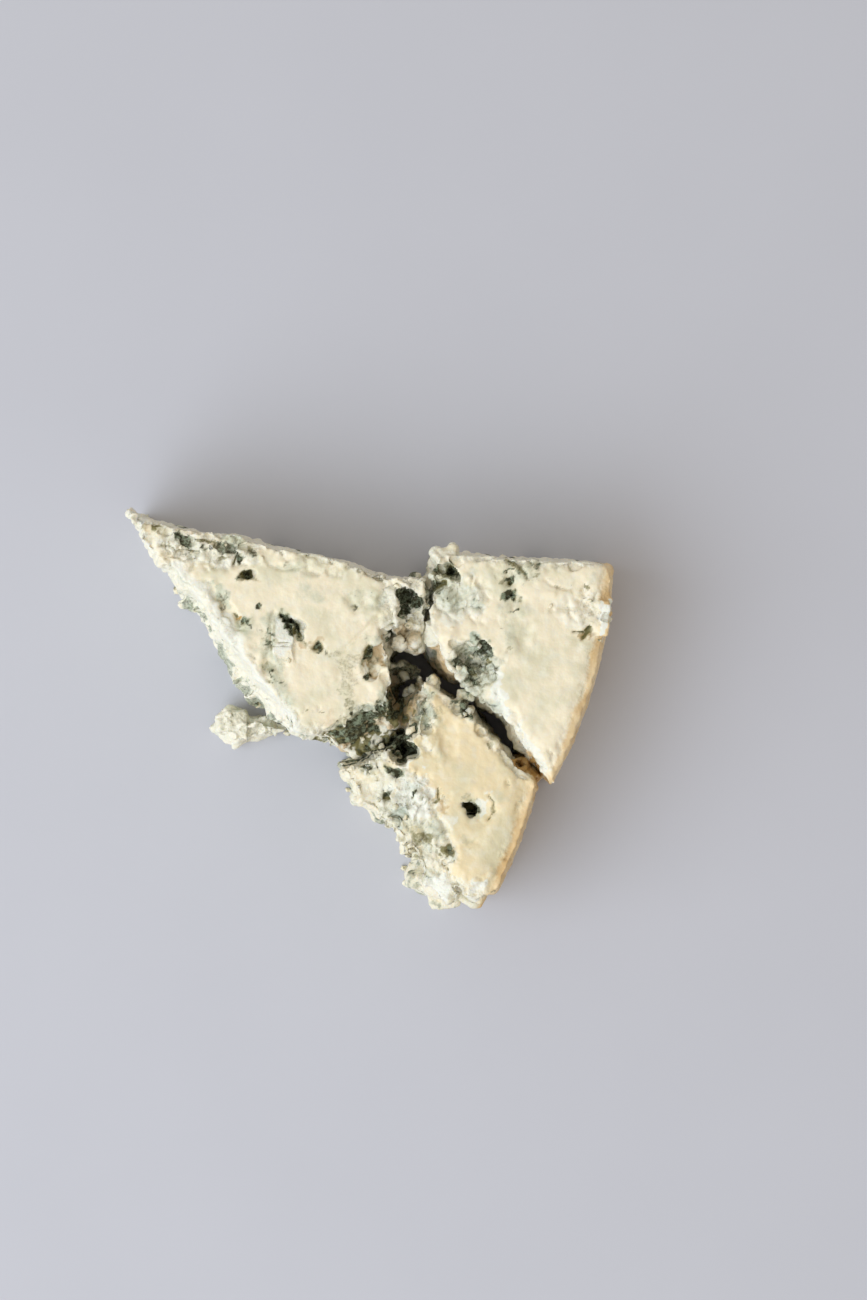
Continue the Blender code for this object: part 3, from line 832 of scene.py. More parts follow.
# Loose crumbs in the crevice and at the foot of the walls: pixel and radius in millimetres.
CREVICE_CRUMBS = [
    (404, 676, 1.6),
    (411, 731, 1.2),
    (414, 690, 1.5),
    (408, 692, 1.2),
    (397, 757, 1.4),
    (470, 712, 1.1),
    (258, 704, 1.0),
    (288, 733, 0.9),
    (176, 590, 0.9),
    (348, 790, 0.8),
    (404, 868, 0.9),
]
TOP_CRUMBS = [
    (398, 586, 0.8),
    (409, 624, 1.0),
    (362, 738, 0.9),
    (381, 746, 0.9),
    (478, 645, 0.8),
    (470, 657, 0.7),
    (484, 655, 0.6),
    (459, 668, 0.7),
    (180, 547, 0.5),
    (190, 552, 0.5),
    (168, 543, 0.5),
    (226, 545, 0.4),
    (440, 577, 0.6),
    (396, 806, 0.8),
    (406, 818, 0.7),
    (378, 800, 0.7),
    (430, 846, 0.8),
    (415, 858, 0.8),
    (366, 772, 0.8),
    (352, 768, 0.7),
    (551, 606, 0.5),
    (590, 601, 0.5),
    (464, 715, 0.6),
    (288, 660, 0.6),
    (600, 640, 0.4),
]


# The window light: the way to it, as the photograph lies, and how many metres away it is.
WINDOW_WAY = (-0.78, -0.46, 0.88)
WINDOW_DISTANCE = 1.25


def linear(hex_colour):
    """An sRGB hex colour as Blender's linear red, green and blue."""
    shares = [int(hex_colour[i : i + 2], 16) / 255 for i in (0, 2, 4)]
    return tuple(s / 12.92 if s <= 0.04045 else ((s + 0.055) / 1.055) ** 2.4 for s in shares)


def size_property(name, description, millimetres):
    """A length that a user may change."""
    length = millimetres * MM
    return FloatProperty(name=name, description=description, default=length, unit="LENGTH", precision=5)


def colour_property(name, description, hex_colour):
    """A colour that a user may change."""
    colour = linear(hex_colour)
    return FloatVectorProperty(
        name=name, description=description, default=colour, subtype="COLOR", size=3, min=0, max=1
    )


class CheeseSizes(bpy.types.PropertyGroup):
    """How finely and how deeply the cheese is crumbled."""

    skin_step: size_property("Skin step", "Distance between the points of a chunk's skin", 0.33)
    curd_width: size_property("Curd width", "Width of the curds on a broken face", 3.6)
    curd_depth: size_property("Curd depth", "How far the curds stand out of a broken face", 1.15)
    grain_width: size_property("Grain width", "Width of the grains on the curds", 2.1)
    grain_depth: size_property("Grain depth", "How far the grains stand out of the curds", 0.45)
    vein_spacing: size_property("Vein spacing", "Width of the paste between two mould veins", 9.0)


class CheeseColours(bpy.types.PropertyGroup):
    """The colours of the paste, its mould and its rind."""

    cream: colour_property("Cream", "Paste of the tip and the left heel", "EFE4C6")
    yellow_cream: colour_property("Yellow cream", "Paste of the right heel", "E9D8AE")
    greyed_cream: colour_property("Greyed cream", "Paste that mould has dulled", "D3D0B0")
    # Chalk is also laid, in part, as painted highlight on walls and ridges that face the light.
    chalk: colour_property("Chalk", "Freshly broken curd", "E9E9DB")
    # Slate is also laid as painted shade in the deepest holes of the crevice.
    slate: colour_property("Slate mould", "Darkest mould", "38361F")
    grey_green: colour_property("Grey-green mould", "Lighter tufts of the mould", "858F76")
    # Olive is also laid as painted shade on the crevice walls, and in part in the seams between crumbled
    # curds.
    olive: colour_property("Olive mould", "Brownish edges of the mould", "80794C")
    mint: colour_property("Mint haze", "Pale mould just under the surface", "A0B09A")
    # Ochre is also laid as painted shade, brown, on the crevice walls and in the slit, and as painted glow,
    # orange, at the slit's rind end.
    ochre: colour_property("Ochre", "Dried and oxidised paste", "B9924F")
    rind_tan: colour_property("Rind", "Thin dry rind", "EDD6AA")
    rind_brown: colour_property("Darker rind", "Patches where the rind is thicker", "D2B078")


def into_frame():
    """The matrix that takes plan millimetres to the frame's metres."""
    centred = Matrix.Translation((-PLAN_CENTRE.x, -PLAN_CENTRE.y, 0.0))
    return Matrix.Scale(MM, 4) @ Matrix.Rotation(WEDGE_TURN, 4, "Z") @ centred


def from_pixel(x, y, height):
    """The plan point at a height that a pixel of the photograph shows."""
    spread = (CAMERA_ABOVE_TOP + HEIGHT - height) / CAMERA_ABOVE_TOP / PIXELS_PER_MM
    across = PLAN_MIDDLE[0] + (x - PHOTO_MIDDLE[0]) * spread
    return Vector((across, PLAN_MIDDLE[1] - (y - PHOTO_MIDDLE[1]) * spread, height))


def to_pixels(places):
    """The pixels of the photograph that show some plan points."""
    size = PIXELS_PER_MM * CAMERA_ABOVE_TOP / (CAMERA_ABOVE_TOP + HEIGHT - places[:, 2])
    across = PHOTO_MIDDLE[0] + (places[:, 0] - PLAN_MIDDLE[0]) * size
    down = PHOTO_MIDDLE[1] - (places[:, 1] - PLAN_MIDDLE[1]) * size
    return np.stack([across, down], axis=1)


def smooth_step(values, low, high):
    """Rises smoothly from 0 at low to 1 at high."""
    share = np.clip((values - low) / (high - low), 0.0, 1.0)
    return share * share * (3.0 - 2.0 * share)


def reach(pixels, mark):
    """How far out in an oval mark each pixel lies: 0 at its middle and 1 at its rim."""
    x, y, half_length, half_width, turn = mark[:5]
    right, down = pixels[:, 0] - x, pixels[:, 1] - y
    cosine, sine = math.cos(math.radians(turn)), math.sin(math.radians(turn))
    along = right * cosine - down * sine
    across = right * sine + down * cosine
    return np.hypot(along / half_length, across / half_width)


def path_distance(pixels, path):
    """How far each pixel lies from a path."""
    nearest = np.full(len(pixels), np.inf)
    for start, end in zip(path, path[1:]):
        start, span = np.array(start, float), np.subtract(end, start).astype(float)
        share = np.clip((pixels - start) @ span / (span @ span), 0.0, 1.0)
        nearest = np.minimum(nearest, np.linalg.norm(pixels - start - share[:, None] * span, axis=1))
    return nearest


def evened(stretches):
    """The outline's points no further apart than EDGE_STEP, each with its wall's set-back and power."""
    marks = [(Vector(p), s.setback, s.power) for s in stretches for p in s.points]
    outline = []
    for (here, setback, power), (there, next_setback, _) in zip(marks, marks[1:] + marks[:1]):
        count = max(1, math.ceil((there - here).length / EDGE_STEP))
        for i in range(count):
            share = i / count
            outline.append((here.lerp(there, share), setback + (next_setback - setback) * share, power))
    return outline


def ways_in(outline):
    """For each point of an outline, the level direction that leads into the chunk."""
    places = [point for point, _, _ in outline]
    area = sum(a.cross(b) for a, b in zip(places, places[1:] + places[:1]))
    side = math.copysign(1.0, area)
    neighbours = zip(places[-1:] + places[:-1], places[1:] + places[:1])
    spans = [(after - before).normalized() for before, after in neighbours]
    return [Vector((-span.y, span.x)) * side for span in spans]


def top_edge(piece):
    """The plan points of the top's edge."""
    outline = evened(piece.outline)
    stands = [point + way * setback for (point, setback, _), way in zip(outline, ways_in(outline))]
    return [tuple(stand) for stand in stands]


def block(outline, ways, height):
    """A chunk's block: its foot outline drawn up by levels, each standing back as the walls do."""
    mesh = bmesh.new()
    post = mesh.verts.layers.int.new("post")
    top = mesh.faces.new([mesh.verts.new((point.x, point.y, -UNDER_FLOOR)) for point, _, _ in outline])
    for index, vert in enumerate(top.verts):
        vert[post] = index
    for level in range(WALL_LEVELS + 1):
        share = level / WALL_LEVELS
        made = bmesh.ops.extrude_face_region(mesh, geom=[top])["geom"]
        top = next(part for part in made if isinstance(part, bmesh.types.BMFace))
        for vert in top.verts:
            point, setback, power = outline[vert[post]]
            stand = point + ways[vert[post]] * setback * share**power
            vert.co = (stand.x, stand.y, height * share)
    bmesh.ops.recalc_face_normals(mesh, faces=mesh.faces[:])
    return mesh


def add_lump(mesh, middle, halves, turn=0.0, roundness=2):
    """Adds an uneven lump, turned about the upright: the less round, the larger its facets."""
    place = Matrix.Translation(middle) @ Matrix.Rotation(turn, 4, "Z") @ Matrix.Diagonal((*halves, 1.0))
    made = bmesh.ops.create_icosphere(mesh, subdivisions=roundness, radius=1.0, matrix=place)
    size = sum(halves) / 3
    for vert in made["verts"]:
        vert.co += noise.noise_vector(vert.co / (size * 1.1)) * size * LUMP_UNEVENNESS


def add_flake(mesh, middle, halves, turn, lean):
    """Adds a flake with flat faces, leaning and then turned about the upright."""
    turned = Matrix.Rotation(math.radians(turn), 4, "Z") @ Matrix.Rotation(math.radians(lean), 4, "X")
    place = Matrix.Translation(middle) @ turned @ Matrix.Diagonal((*halves, 1.0))
    made = bmesh.ops.create_cube(mesh, size=2.0, matrix=place)
    for vert in made["verts"]:
        vert.co += noise.noise_vector(vert.co * 0.9) * FLAKE_UNEVENNESS


def add_nibs(mesh, outline, ways, height, dice):
    """Scatters small curds over the walls and along their upper edge, where a rind has fewer and finer."""
    for index, (point, setback, power) in enumerate(outline):
        way = ways[index]
        broken = power != ROUNDED
        for lowest, size in NIBS:
            if not broken and size > LARGEST_RIND_NIB:
                continue
            share = dice.uniform(lowest, 0.98)
            radius = size * dice.uniform(0.45, 1.0) * (1.0 if broken else 0.75)
            inwards = setback * share**power + radius * dice.uniform(0.1, 0.7)
            middle = point + way * inwards + Vector((-way.y, way.x)) * dice.uniform(-1.0, 1.0)
            level = min(height * share, height - radius * 0.4)
            halves = (radius, radius * dice.uniform(0.6, 1.0), radius * dice.uniform(0.6, 1.1))
            add_lump(mesh, (middle.x, middle.y, level), halves, dice.uniform(0, math.tau), 1)


def rim_bites(outline, ways, dice):
    """Hollows where small curds have dropped off along the top's edge, but not along a rind."""
    bites = []
    for (point, setback, power), way in zip(outline, ways):
        if power == ROUNDED or dice.random() < UNBITTEN_SHARE:
            continue
        middle = point + way * (setback + dice.uniform(-0.2, 0.7))
        pixel = to_pixels(np.array([[middle.x, middle.y, HEIGHT]]))
        if path_distance(pixel, SMOOTH_BAND)[0] < BAND_MARGIN_PIXELS:
            continue
        half_length = dice.uniform(3.0, 6.5)
        half_width = half_length * dice.uniform(0.6, 1.0)
        turn = dice.uniform(0, 180)
        depth = dice.uniform(0.5, 1.5)
        bites.append((*pixel[0], half_length, half_width, turn, depth))
    return bites


def heap_curds(shape, piece, dice):
    """Sets the flakes and uneven curds on the places where the top has crumbled."""
    places = points_of(shape)
    pixels = to_pixels(places)
    upright = read_vectors(shape, "normal")[:, 2] > 0.25
    high = places[:, 2] > piece.height - CURDS_DOWN_TO
    loose = marked(pixels, CRUMBLED, 0.0) > 0.6
    smooth = marked(pixels, SMOOTH, 0.0) > 0.3
    carrying = np.flatnonzero(upright & high & loose & ~smooth)

    mesh = bmesh.new()
    mesh.from_mesh(shape.data)
    for x, y, height, *halves, turn, lean in piece.flakes:
        add_flake(mesh, from_pixel(x, y, height), halves, turn, lean)
    for index in dice.sample(list(carrying), len(carrying) // POINTS_PER_CURD):
        radius = dice.triangular(0.5, 1.8, 0.8)
        halves = (radius, radius * dice.uniform(0.6, 0.95), radius * dice.uniform(0.6, 0.95))
        middle = Vector(places[index]) - Vector((0, 0, radius * dice.uniform(0.15, 0.6)))
        add_lump(mesh, middle, halves, dice.uniform(0, math.tau), 1)
    mesh.to_mesh(shape.data)
    mesh.free()


def evaluated(shape):
    """Works the object's modifiers into its mesh."""
    graph = bpy.context.evaluated_depsgraph_get()
    skin = bpy.data.meshes.new_from_object(shape.evaluated_get(graph))
    shape.modifiers.clear()
    shape.data = skin


def reskinned(shape, step):
    """Joins the object's overlapping shells under one even skin."""
    remesh = shape.modifiers.new("Skin", "REMESH")
    remesh.mode = "VOXEL"
    remesh.voxel_size = step
    evaluated(shape)


def read_vectors(shape, name):
    """A vector that each of the shape's points has, as an array."""
    flat = np.empty(len(shape.data.vertices) * 3)
    shape.data.vertices.foreach_get(name, flat)
    return flat.reshape(-1, 3)


def points_of(shape):
    """The places of the shape's points, as an array."""
    return read_vectors(shape, "co")


def move_points(shape, places):
    """Moves the shape's points."""
    shape.data.vertices.foreach_set("co", places.ravel())
    shape.data.update()


def clouds(points, width, roughness=1.0, octaves=3):
    """Cloudy noise at each point, about 0, with clouds so many millimetres wide."""
    return np.array([noise.fractal(point / width, roughness, 2.0, octaves) for point in points])


def drifts(points, width):
    """A level drift at each point, up to about 1 long, that turns round over so many millimetres."""
    return np.array([noise.noise_vector(point / width)[:2] for point in points])


def curd_relief(points, width):
    """The relief of a broken face, in curd widths, and how near each point lies to a crack round a curd."""
    relief = np.empty(len(points))
    crack = np.empty(len(points))
    for index, point in enumerate(points):
        place = point / width
        place += noise.noise_vector(place * 0.45) * 0.5 + noise.noise_vector(place * 1.9) * 0.25
        distances, middles = noise.voronoi(place)
        tilt = noise.noise_vector(middles[0] * 5.7)
        outwards = 2.0 * distances[0] / (distances[0] + distances[1])
        crack[index] = max(0.0, (outwards - 0.68) / 0.32) ** 2
        leaning = tilt.dot(place - middles[0]) * 0.6 + tilt.z * 0.25
        relief[index] = leaning + 0.5 * (0.6 - outwards**2) - 0.12 * crack[index]
    return relief, crack


def vein_walls(points, spacing):
    """How near each point lies to a mould vein: 1 in a vein and 0 in clean paste."""
    nearness = np.empty(len(points))
    for index, point in enumerate(points):
        place = point / spacing + VEIN_SHIFT + noise.noise_vector(point / 6.0) * 0.35
        distances, _ = noise.voronoi(place)
        nearness[index] = distances[1] - distances[0]
    return 1.0 - smooth_step(nearness, 0.02, 0.2)


def fibre_noise(points):
    """Noise drawn out along the ledge, as the mould's fibres lie there."""
    cosine, sine = math.cos(FIBRE_TURN), math.sin(FIBRE_TURN)
    drawn = []
    for point in points:
        along = point.x * cosine + point.y * sine
        across = point.y * cosine - point.x * sine
        drawn.append(Vector((along / FIBRE_LENGTH, across / FIBRE_WIDTH, point.z / FIBRE_DEPTH)))
    return clouds(drawn, 1.0, 0.8)


def hollowed(places, height, ledges, bevels, hollows):
    """Cuts the ledges, bevels and hollows into the top, and returns the moved places."""
    wobble = drifts([Vector(p) for p in places], 2.6)
    pixels = to_pixels(places) + wobble * 4.0
    roof = np.full(len(places), np.inf)
    for start, end, slope, lowest in ledges:
        along = np.subtract(end, start) / math.dist(start, end)
        past = (pixels[:, 1] - start[1]) * along[0] - (pixels[:, 0] - start[0]) * along[1]
        fallen = height - slope * np.maximum(past, 0.0) / PIXELS_PER_MM
        roof = np.minimum(roof, np.where(past > 0.0, np.maximum(fallen, lowest), np.inf))
    for edge, width, drop in bevels:
        share = np.clip(1.0 - path_distance(pixels, edge) / width, 0.0, 1.0)
        roof = np.minimum(roof, np.where(share > 0.0, height - drop * share**1.5, np.inf))
    for hollow in hollows:
        inside = 1.0 - reach(pixels + wobble * 6.0, hollow) ** 2
        roof = np.minimum(roof, np.where(inside > 0.0, height - hollow[5] * inside**0.7, np.inf))
    lowered = places.copy()
    lowered[:, 2] = np.minimum(places[:, 2], roof)
    return lowered


def pitted(points, places, height, pits, cracks):
    """How far the small pits and cracks in the top sink each point."""
    wobble = drifts(points, 1.5)
    pixels = to_pixels(places)
    sunk = np.zeros(len(places))
    for pit in pits:
        sunk += pit[5] * np.maximum(0.0, 1.0 - reach(pixels + wobble * 6.0, pit) ** 2)
    for path, half_width, depth in cracks:
        away = path_distance(pixels + wobble * 2.0, path) / half_width
        sunk += depth * np.maximum(0.0, 1.0 - away**2)
    return sunk * smooth_step(places[:, 2], height - 9.0, height - 5.0)


def marked(pixels, marks, mottle, margin=0.0, fade=0.4):
    """How strongly some oval marks cover each pixel, with edges that the mottle makes ragged.

    The margin widens each mark and the fade softens its edge, both as shares of its own size.
    """
    cover = np.zeros(len(pixels))
    for mark in marks:
        inside = 1.1 + margin - reach(pixels, mark) + mottle * 0.7
        cover = np.maximum(cover, mark[5] * smooth_step(inside, 0.0, fade))
    return cover


class Piece:
    """A piece of the cheese: its outline, height, lumps and rind's ends, and the changes to its top."""

    def __init__(self, name, outline, height, lumps, rind=None, **changes):
        self.name = name
        self.outline = outline
        self.height = height
        self.lumps = lumps
        self.rind = rind
        for kind in ("flakes", "ledges", "bevels", "hollows", "pits", "cracks"):
            setattr(self, kind, changes.get(kind, ()))


TIP = Piece(
    "tip_paste",
    TIP_OUTLINE,
    HEIGHT,
    TIP_LUMPS,
    flakes=TIP_FLAKES,
    ledges=TIP_LEDGES,
    hollows=TIP_HOLLOWS,
    pits=TIP_PITS,
    cracks=TIP_CRACKS,
)
LEFT_HEEL = Piece(
    "left_heel_paste",
    LEFT_HEEL_OUTLINE,
    HEIGHT,
    LEFT_HEEL_LUMPS,
    flakes=LEFT_HEEL_FLAKES,
    bevels=LEFT_HEEL_BEVELS,
    hollows=LEFT_HEEL_HOLLOWS,
    pits=LEFT_HEEL_PITS,
    cracks=LEFT_HEEL_CRACKS,
    rind=LEFT_RIND,
)
RIGHT_HEEL = Piece(
    "right_heel_paste",
    RIGHT_HEEL_OUTLINE,
    HEIGHT,
    RIGHT_HEEL_LUMPS,
    flakes=RIGHT_HEEL_FLAKES,
    ledges=RIGHT_HEEL_LEDGES,
    bevels=RIGHT_HEEL_BEVELS,
    hollows=RIGHT_HEEL_HOLLOWS,
    pits=RIGHT_HEEL_PITS,
    cracks=RIGHT_HEEL_CRACKS,
    rind=RIGHT_RIND,
)
SIDE_CRUMB = Piece("side_crumb_paste", SIDE_CRUMB_OUTLINE, CRUMB_HEIGHT, SIDE_CRUMB_LUMPS)


def rind_share(points, places, piece):
    """How much of a rind each point has: all of it at the wheel's edge and none deep in the paste."""
    if piece.rind is None:
        return np.zeros(len(places))
    centre = wheel_centre(*piece.rind)
    out = np.hypot(places[:, 0] - centre.x, places[:, 1] - centre.y)
    return smooth_step(out + clouds(points, 5.0) * 1.2, WHEEL_RADIUS - 3.8, WHEEL_RADIUS - 0.6)


class Skin:
    """A chunk's skin: where its points lie, the zones that they lie in and the patterns in the paste."""

    def __init__(self, shape, piece, sizes):
        self.places = points_of(shape)
        self.points = [Vector(p) for p in self.places]
        self.normals = read_vectors(shape, "normal")
        self.pixels = to_pixels(self.places)
        self.pixels += drifts(self.points, 3.4) * 8.0
        self.pixels += drifts(self.points, 1.1) * 4.0

        self.broad = clouds(self.points, 9.0)
        self.waves = clouds(self.points, 3.2, 0.9)
        self.fine = clouds(self.points, 1.2, 0.8)
        self.mottle = clouds(self.points, 2.4, 1.1, 4) * 1.3
        self.curds, self.cracks = curd_relief(self.points, sizes.curd_width / MM)
        self.grains, self.seams = curd_relief(self.points, sizes.grain_width / MM)

        level = self.places[:, 2] - piece.height
        self.near_top = smooth_step(level, -5.0, -1.6) * smooth_step(self.normals[:, 2], 0.55, 0.85)
        self.deep = smooth_step(level, -6.0, -2.4)
        self.sunken = 1.0 - smooth_step(level, -2.4, -1.0)
        self.low = 1.0 - smooth_step(level, -12.0, -4.0)
        self.rinded = rind_share(self.points, self.places, piece)
        edge = top_edge(piece)
        inwards = path_distance(self.places[:, :2], edge + edge[:1]) + self.waves * 1.4
        rim = (1.0 - smooth_step(inwards, 0.4, 2.4)) * (1.0 - self.rinded)
        self.loose = marked(self.pixels, CRUMBLED, self.broad)
        self.crumbled = np.maximum(self.loose, rim * 0.85)
        self.mouldy = marked(self.pixels, MOULDY, self.broad)
        self.hazy = marked(self.pixels, MOULDY, self.broad, 0.5, 1.2)
        self.cut_top = self.near_top * (1.0 - self.crumbled) * (piece is not SIDE_CRUMB)
        self.smooth = marked(self.pixels, SMOOTH, self.broad)
        self.knife_cut = smooth_step(self.normals[:, 1], 0.6, 0.9) * (1.0 - self.near_top)
        self.band = 1.0 - smooth_step(path_distance(self.pixels, SMOOTH_BAND), 4.0, 10.0)
        self.band *= smooth_step(level, -11.0, -7.0) * (piece is TIP)
        below = 1.0 - smooth_step(level, -0.6, 0.0)
        self.fibres = smooth_step(fibre_noise(self.points), 0.0, 0.35)
        self.fibres *= marked(self.pixels, FIBROUS, self.broad) * below
        self.sunk = pitted(self.points, self.places, piece.height, piece.pits, piece.cracks)


def relief(skin, sizes):
    """How far each point of the skin stands out, in millimetres: curds, grain and fibres."""
    walls = 1.0 - skin.near_top
    roughness = (1.0 - skin.cut_top * 0.93) * (1.0 - skin.rinded * 0.65)
    roughness *= (1.0 - 0.45 * skin.knife_cut) * (1.0 - 0.7 * skin.band) * (1.0 - 0.8 * skin.smooth)
    curds = skin.curds * (1.0 + 0.7 * skin.near_top) * sizes.curd_depth / MM
    lift = roughness * (curds + skin.grains * sizes.grain_depth / MM + skin.fine * 0.08)
    lift += walls * (1.0 - skin.rinded) * (1.0 - 0.6 * skin.knife_cut) * (skin.broad * 1.6 - 0.2)
    lift -= skin.loose * skin.near_top * (1.0 - skin.rinded) * 0.4
    soft = skin.broad * 0.25
    soft += skin.waves * (0.1 + 0.5 * skin.mouldy)
    soft += skin.fine * (0.04 + 0.06 * skin.mouldy)
    return lift + skin.cut_top * soft + skin.fibres * 0.45


def stains_and_painted_light(skin, piece, sizes):
    """How strongly each stain of the paste's material, and the painted shade, glow and highlight laid with
    the stains, covers each point of the skin.
    """
    cover = {name: marked(skin.pixels, marks, skin.mottle) * skin.deep for name, marks in STAINS.items()}
    cover["rind"] = skin.rinded * (1.0 - cover["chalk"])

    def strengthen(name, strength):
        cover[name] = np.maximum(cover[name], strength)

    # What the photograph shows on the top and in the crevice.
    strengthen("mint", marked(skin.pixels, STAINS["mint"], skin.mottle, 0.3, 1.0) * skin.deep)
    strengthen("olive", marked(skin.pixels, STAINS["mould"], skin.mottle, 0.35) * skin.deep * 0.55)
    strengthen("mint", marked(skin.pixels, STAINS["mould"], skin.mottle, 0.9, 0.8) * skin.deep * 0.7)
    # The sunk corners and the crevice take their mould, and the painted shade and glow laid there.
    if piece is not SIDE_CRUMB:
        for name, marks in DEEP_STAINS_AND_PAINTED_SHADE.items():
            strengthen(name, marked(skin.pixels, marks, skin.mottle * 0.6) * skin.sunken)

    # Pits darken with their depth, partly mould grown in them and partly painted shade; and mould that has
    # grown in the seams between the curds.
    strengthen("mould", np.clip(skin.sunk - 0.9, 0.0, 1.0) * 0.8)
    strengthen("olive", np.clip(skin.sunk - 0.25, 0.0, 1.0) * 1.2)
    seam = np.maximum(skin.seams, skin.cracks)
    grown = smooth_step(skin.mouldy, 0.1, 0.9) * skin.deep
    tufted = smooth_step(skin.waves + 0.5 * skin.mottle, 0.0, 0.6)
    strengthen("mould", smooth_step(seam + 0.4 * skin.mottle, 0.5, 1.1) * grown * tufted * 0.95)
    strengthen("olive", smooth_step(seam + 0.5 * skin.mottle, 0.2, 1.0) * grown * 0.5)
    strengthen("olive", tufted * grown * 0.3)
    # Olive in the seams between the curds where the top has crumbled: partly mould, partly painted shade
    # between the curds.
    crumbs = skin.crumbled * skin.near_top
    strengthen("olive", smooth_step(seam + 0.3 * skin.mottle, 0.5, 1.1) * crumbs * 0.35)
    strengthen("chalk", skin.loose * skin.near_top * 0.5)
    haze = skin.hazy + 0.5 * skin.broad + 0.3 * skin.waves
    strengthen("mint", smooth_step(haze, 0.1, 0.9) * skin.deep * 0.7)
    strengthen("mint", smooth_step(skin.broad + 0.3 * skin.waves, 0.0, 0.6) * skin.deep * 0.22)

    # Veins and pockets of mould that the broken and cut sides lay open.
    broken = 1.0 - skin.cut_top
    wall = broken * (1.0 - skin.rinded) * skin.low * smooth_step(skin.places[:, 0], 3.0, 9.0)
    patch = smooth_step(clouds(skin.points, 11.0, 1.0, 2), -0.15, 0.3)
    vein = vein_walls(skin.points, sizes.vein_spacing / MM) * patch
    pocket = smooth_step(clouds([p + POCKET_SHIFT for p in skin.points], 5.0, 0.8, 4), 0.22, 0.42)
    opened = np.maximum(vein, pocket)
    strengthen("mould", np.maximum(vein, pocket * 0.9) * wall * (0.45 + 0.35 * skin.knife_cut))
    strengthen("olive", smooth_step(opened, 0.15, 0.7) * wall * 0.25)
    strengthen("mint", smooth_step(opened, 0.0, 0.6) * wall * 0.75)
    strengthen("chalk", broken * (1.0 - skin.rinded) * 0.5)
    # Painted highlight, in part: the band on the tip's wall that faces the light is laid chalk-white.
    strengthen("chalk", skin.band * 0.65)

    clean = (1.0 - marked(skin.pixels, BARE, skin.mottle)) * (1.0 - skin.band)
    for name in ("mould", "olive", "mint"):
        cover[name] = cover[name] * clean
    cover["mould"] = cover["mould"] * (1.0 - 0.5 * skin.fibres)
    cover["broken"] = broken
    return cover


def write_attributes(shape, cover):
    """Writes the strength of each stain as an attribute of the shape's points."""
    for name, strengths in cover.items():
        attribute = shape.data.attributes.new(name, "FLOAT", "POINT")
        attribute.data.foreach_set("value", np.clip(strengths, 0.0, 1.0))


def textured(shape, piece, sizes):
    """Gives the skin its curds, pits and grain, and writes what the paste's material reads."""
    skin = Skin(shape, piece, sizes)
    moved = skin.places + skin.normals * relief(skin, sizes)[:, None]
    moved[:, 2] -= skin.sunk
    above = np.maximum(moved[:, 2] - piece.height, 0.0)
    pressed = piece.height + TOP_RELIEF * (1.0 - np.exp(-above / TOP_RELIEF))
    moved[:, 2] = np.minimum(moved[:, 2], pressed)
    move_points(shape, moved)
    write_attributes(shape, stains_and_painted_light(skin, piece, sizes))


def stood(shape):
    """Cuts the underside off flat, so that the piece rests on the floor."""
    mesh = bmesh.new()
    mesh.from_mesh(shape.data)
    whole = mesh.verts[:] + mesh.edges[:] + mesh.faces[:]
    bmesh.ops.bisect_plane(
        mesh, geom=whole, dist=FLOOR_SNAP, plane_co=(0, 0, 0), plane_no=(0, 0, 1), clear_inner=True
    )
    for vert in mesh.verts:
        if abs(vert.co.z) <= FLOOR_SNAP:
            vert.co.z = 0.0
    rim = [edge for edge in mesh.edges if edge.is_boundary]
    filled = bmesh.ops.holes_fill(mesh, edges=rim, sides=0)["faces"]
    loose = [edge for edge in mesh.edges if not edge.link_faces]
    bmesh.ops.delete(mesh, geom=loose, context="EDGES")
    bmesh.ops.triangulate(mesh, faces=filled)
    bmesh.ops.recalc_face_normals(mesh, faces=mesh.faces[:])
    mesh.to_mesh(shape.data)
    mesh.free()


def new_shape(name, mesh):
    """An object in the scene that holds the mesh, which is freed."""
    shape = bpy.data.objects.new(name, bpy.data.meshes.new(name))
    bpy.context.scene.collection.objects.link(shape)
    mesh.to_mesh(shape.data)
    mesh.free()
    return shape


def finished(shape, material, name):
    """Takes the shape from plan millimetres to the frame and gives it its material."""
    shape.data.transform(into_frame())
    shape.data.name = name
    shape.data.shade_smooth()
    shape.data.materials.clear()
    shape.data.materials.append(material)
    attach(shape, "root")


def make_piece(piece, node, material, sizes):
    """Makes a piece of the cheese, from its outline to its finished skin, in place of its CAD node."""
    dice = random.Random(piece.name)
    outline = evened(piece.outline)
    ways = ways_in(outline)
    mesh = block(outline, ways, piece.height)
    for x, y, height, *halves in piece.lumps:
        add_lump(mesh, from_pixel(x, y, height), halves)
    add_nibs(mesh, outline, ways, piece.height, dice)
    shape = new_shape(piece.name, mesh)
    reskinned(shape, FIRST_SKIN_STEP)
    hollows = [*piece.hollows, *rim_bites(outline, ways, dice)]
    move_points(shape, hollowed(points_of(shape), piece.height, piece.ledges, piece.bevels, hollows))
    if piece is not SIDE_CRUMB:
        heap_curds(shape, piece, dice)
    reskinned(shape, sizes.skin_step / MM)
    textured(shape, piece, sizes)
    stood(shape)
    finished(shape, material, piece.name)
    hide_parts(node)


def added(tree, kind, sockets=None, **settings):
    """Adds a node with its settings, and sets or links its sockets."""
    node = tree.nodes.new(kind)
    for name, value in settings.items():
        setattr(node, name, value)
    for name, value in (sockets or {}).items():
        if isinstance(value, bpy.types.NodeSocket):
            tree.links.new(value, node.inputs[name])
        else:
            node.inputs[name].default_value = value
    return node


def per_metre(millimetres):
    """The scale of a pattern whose features are so many millimetres wide."""
    return 1.0 / (millimetres * MM)


def opaque(colour):
    """A colour with full alpha, as a colour socket takes it."""
    return (*colour, 1)


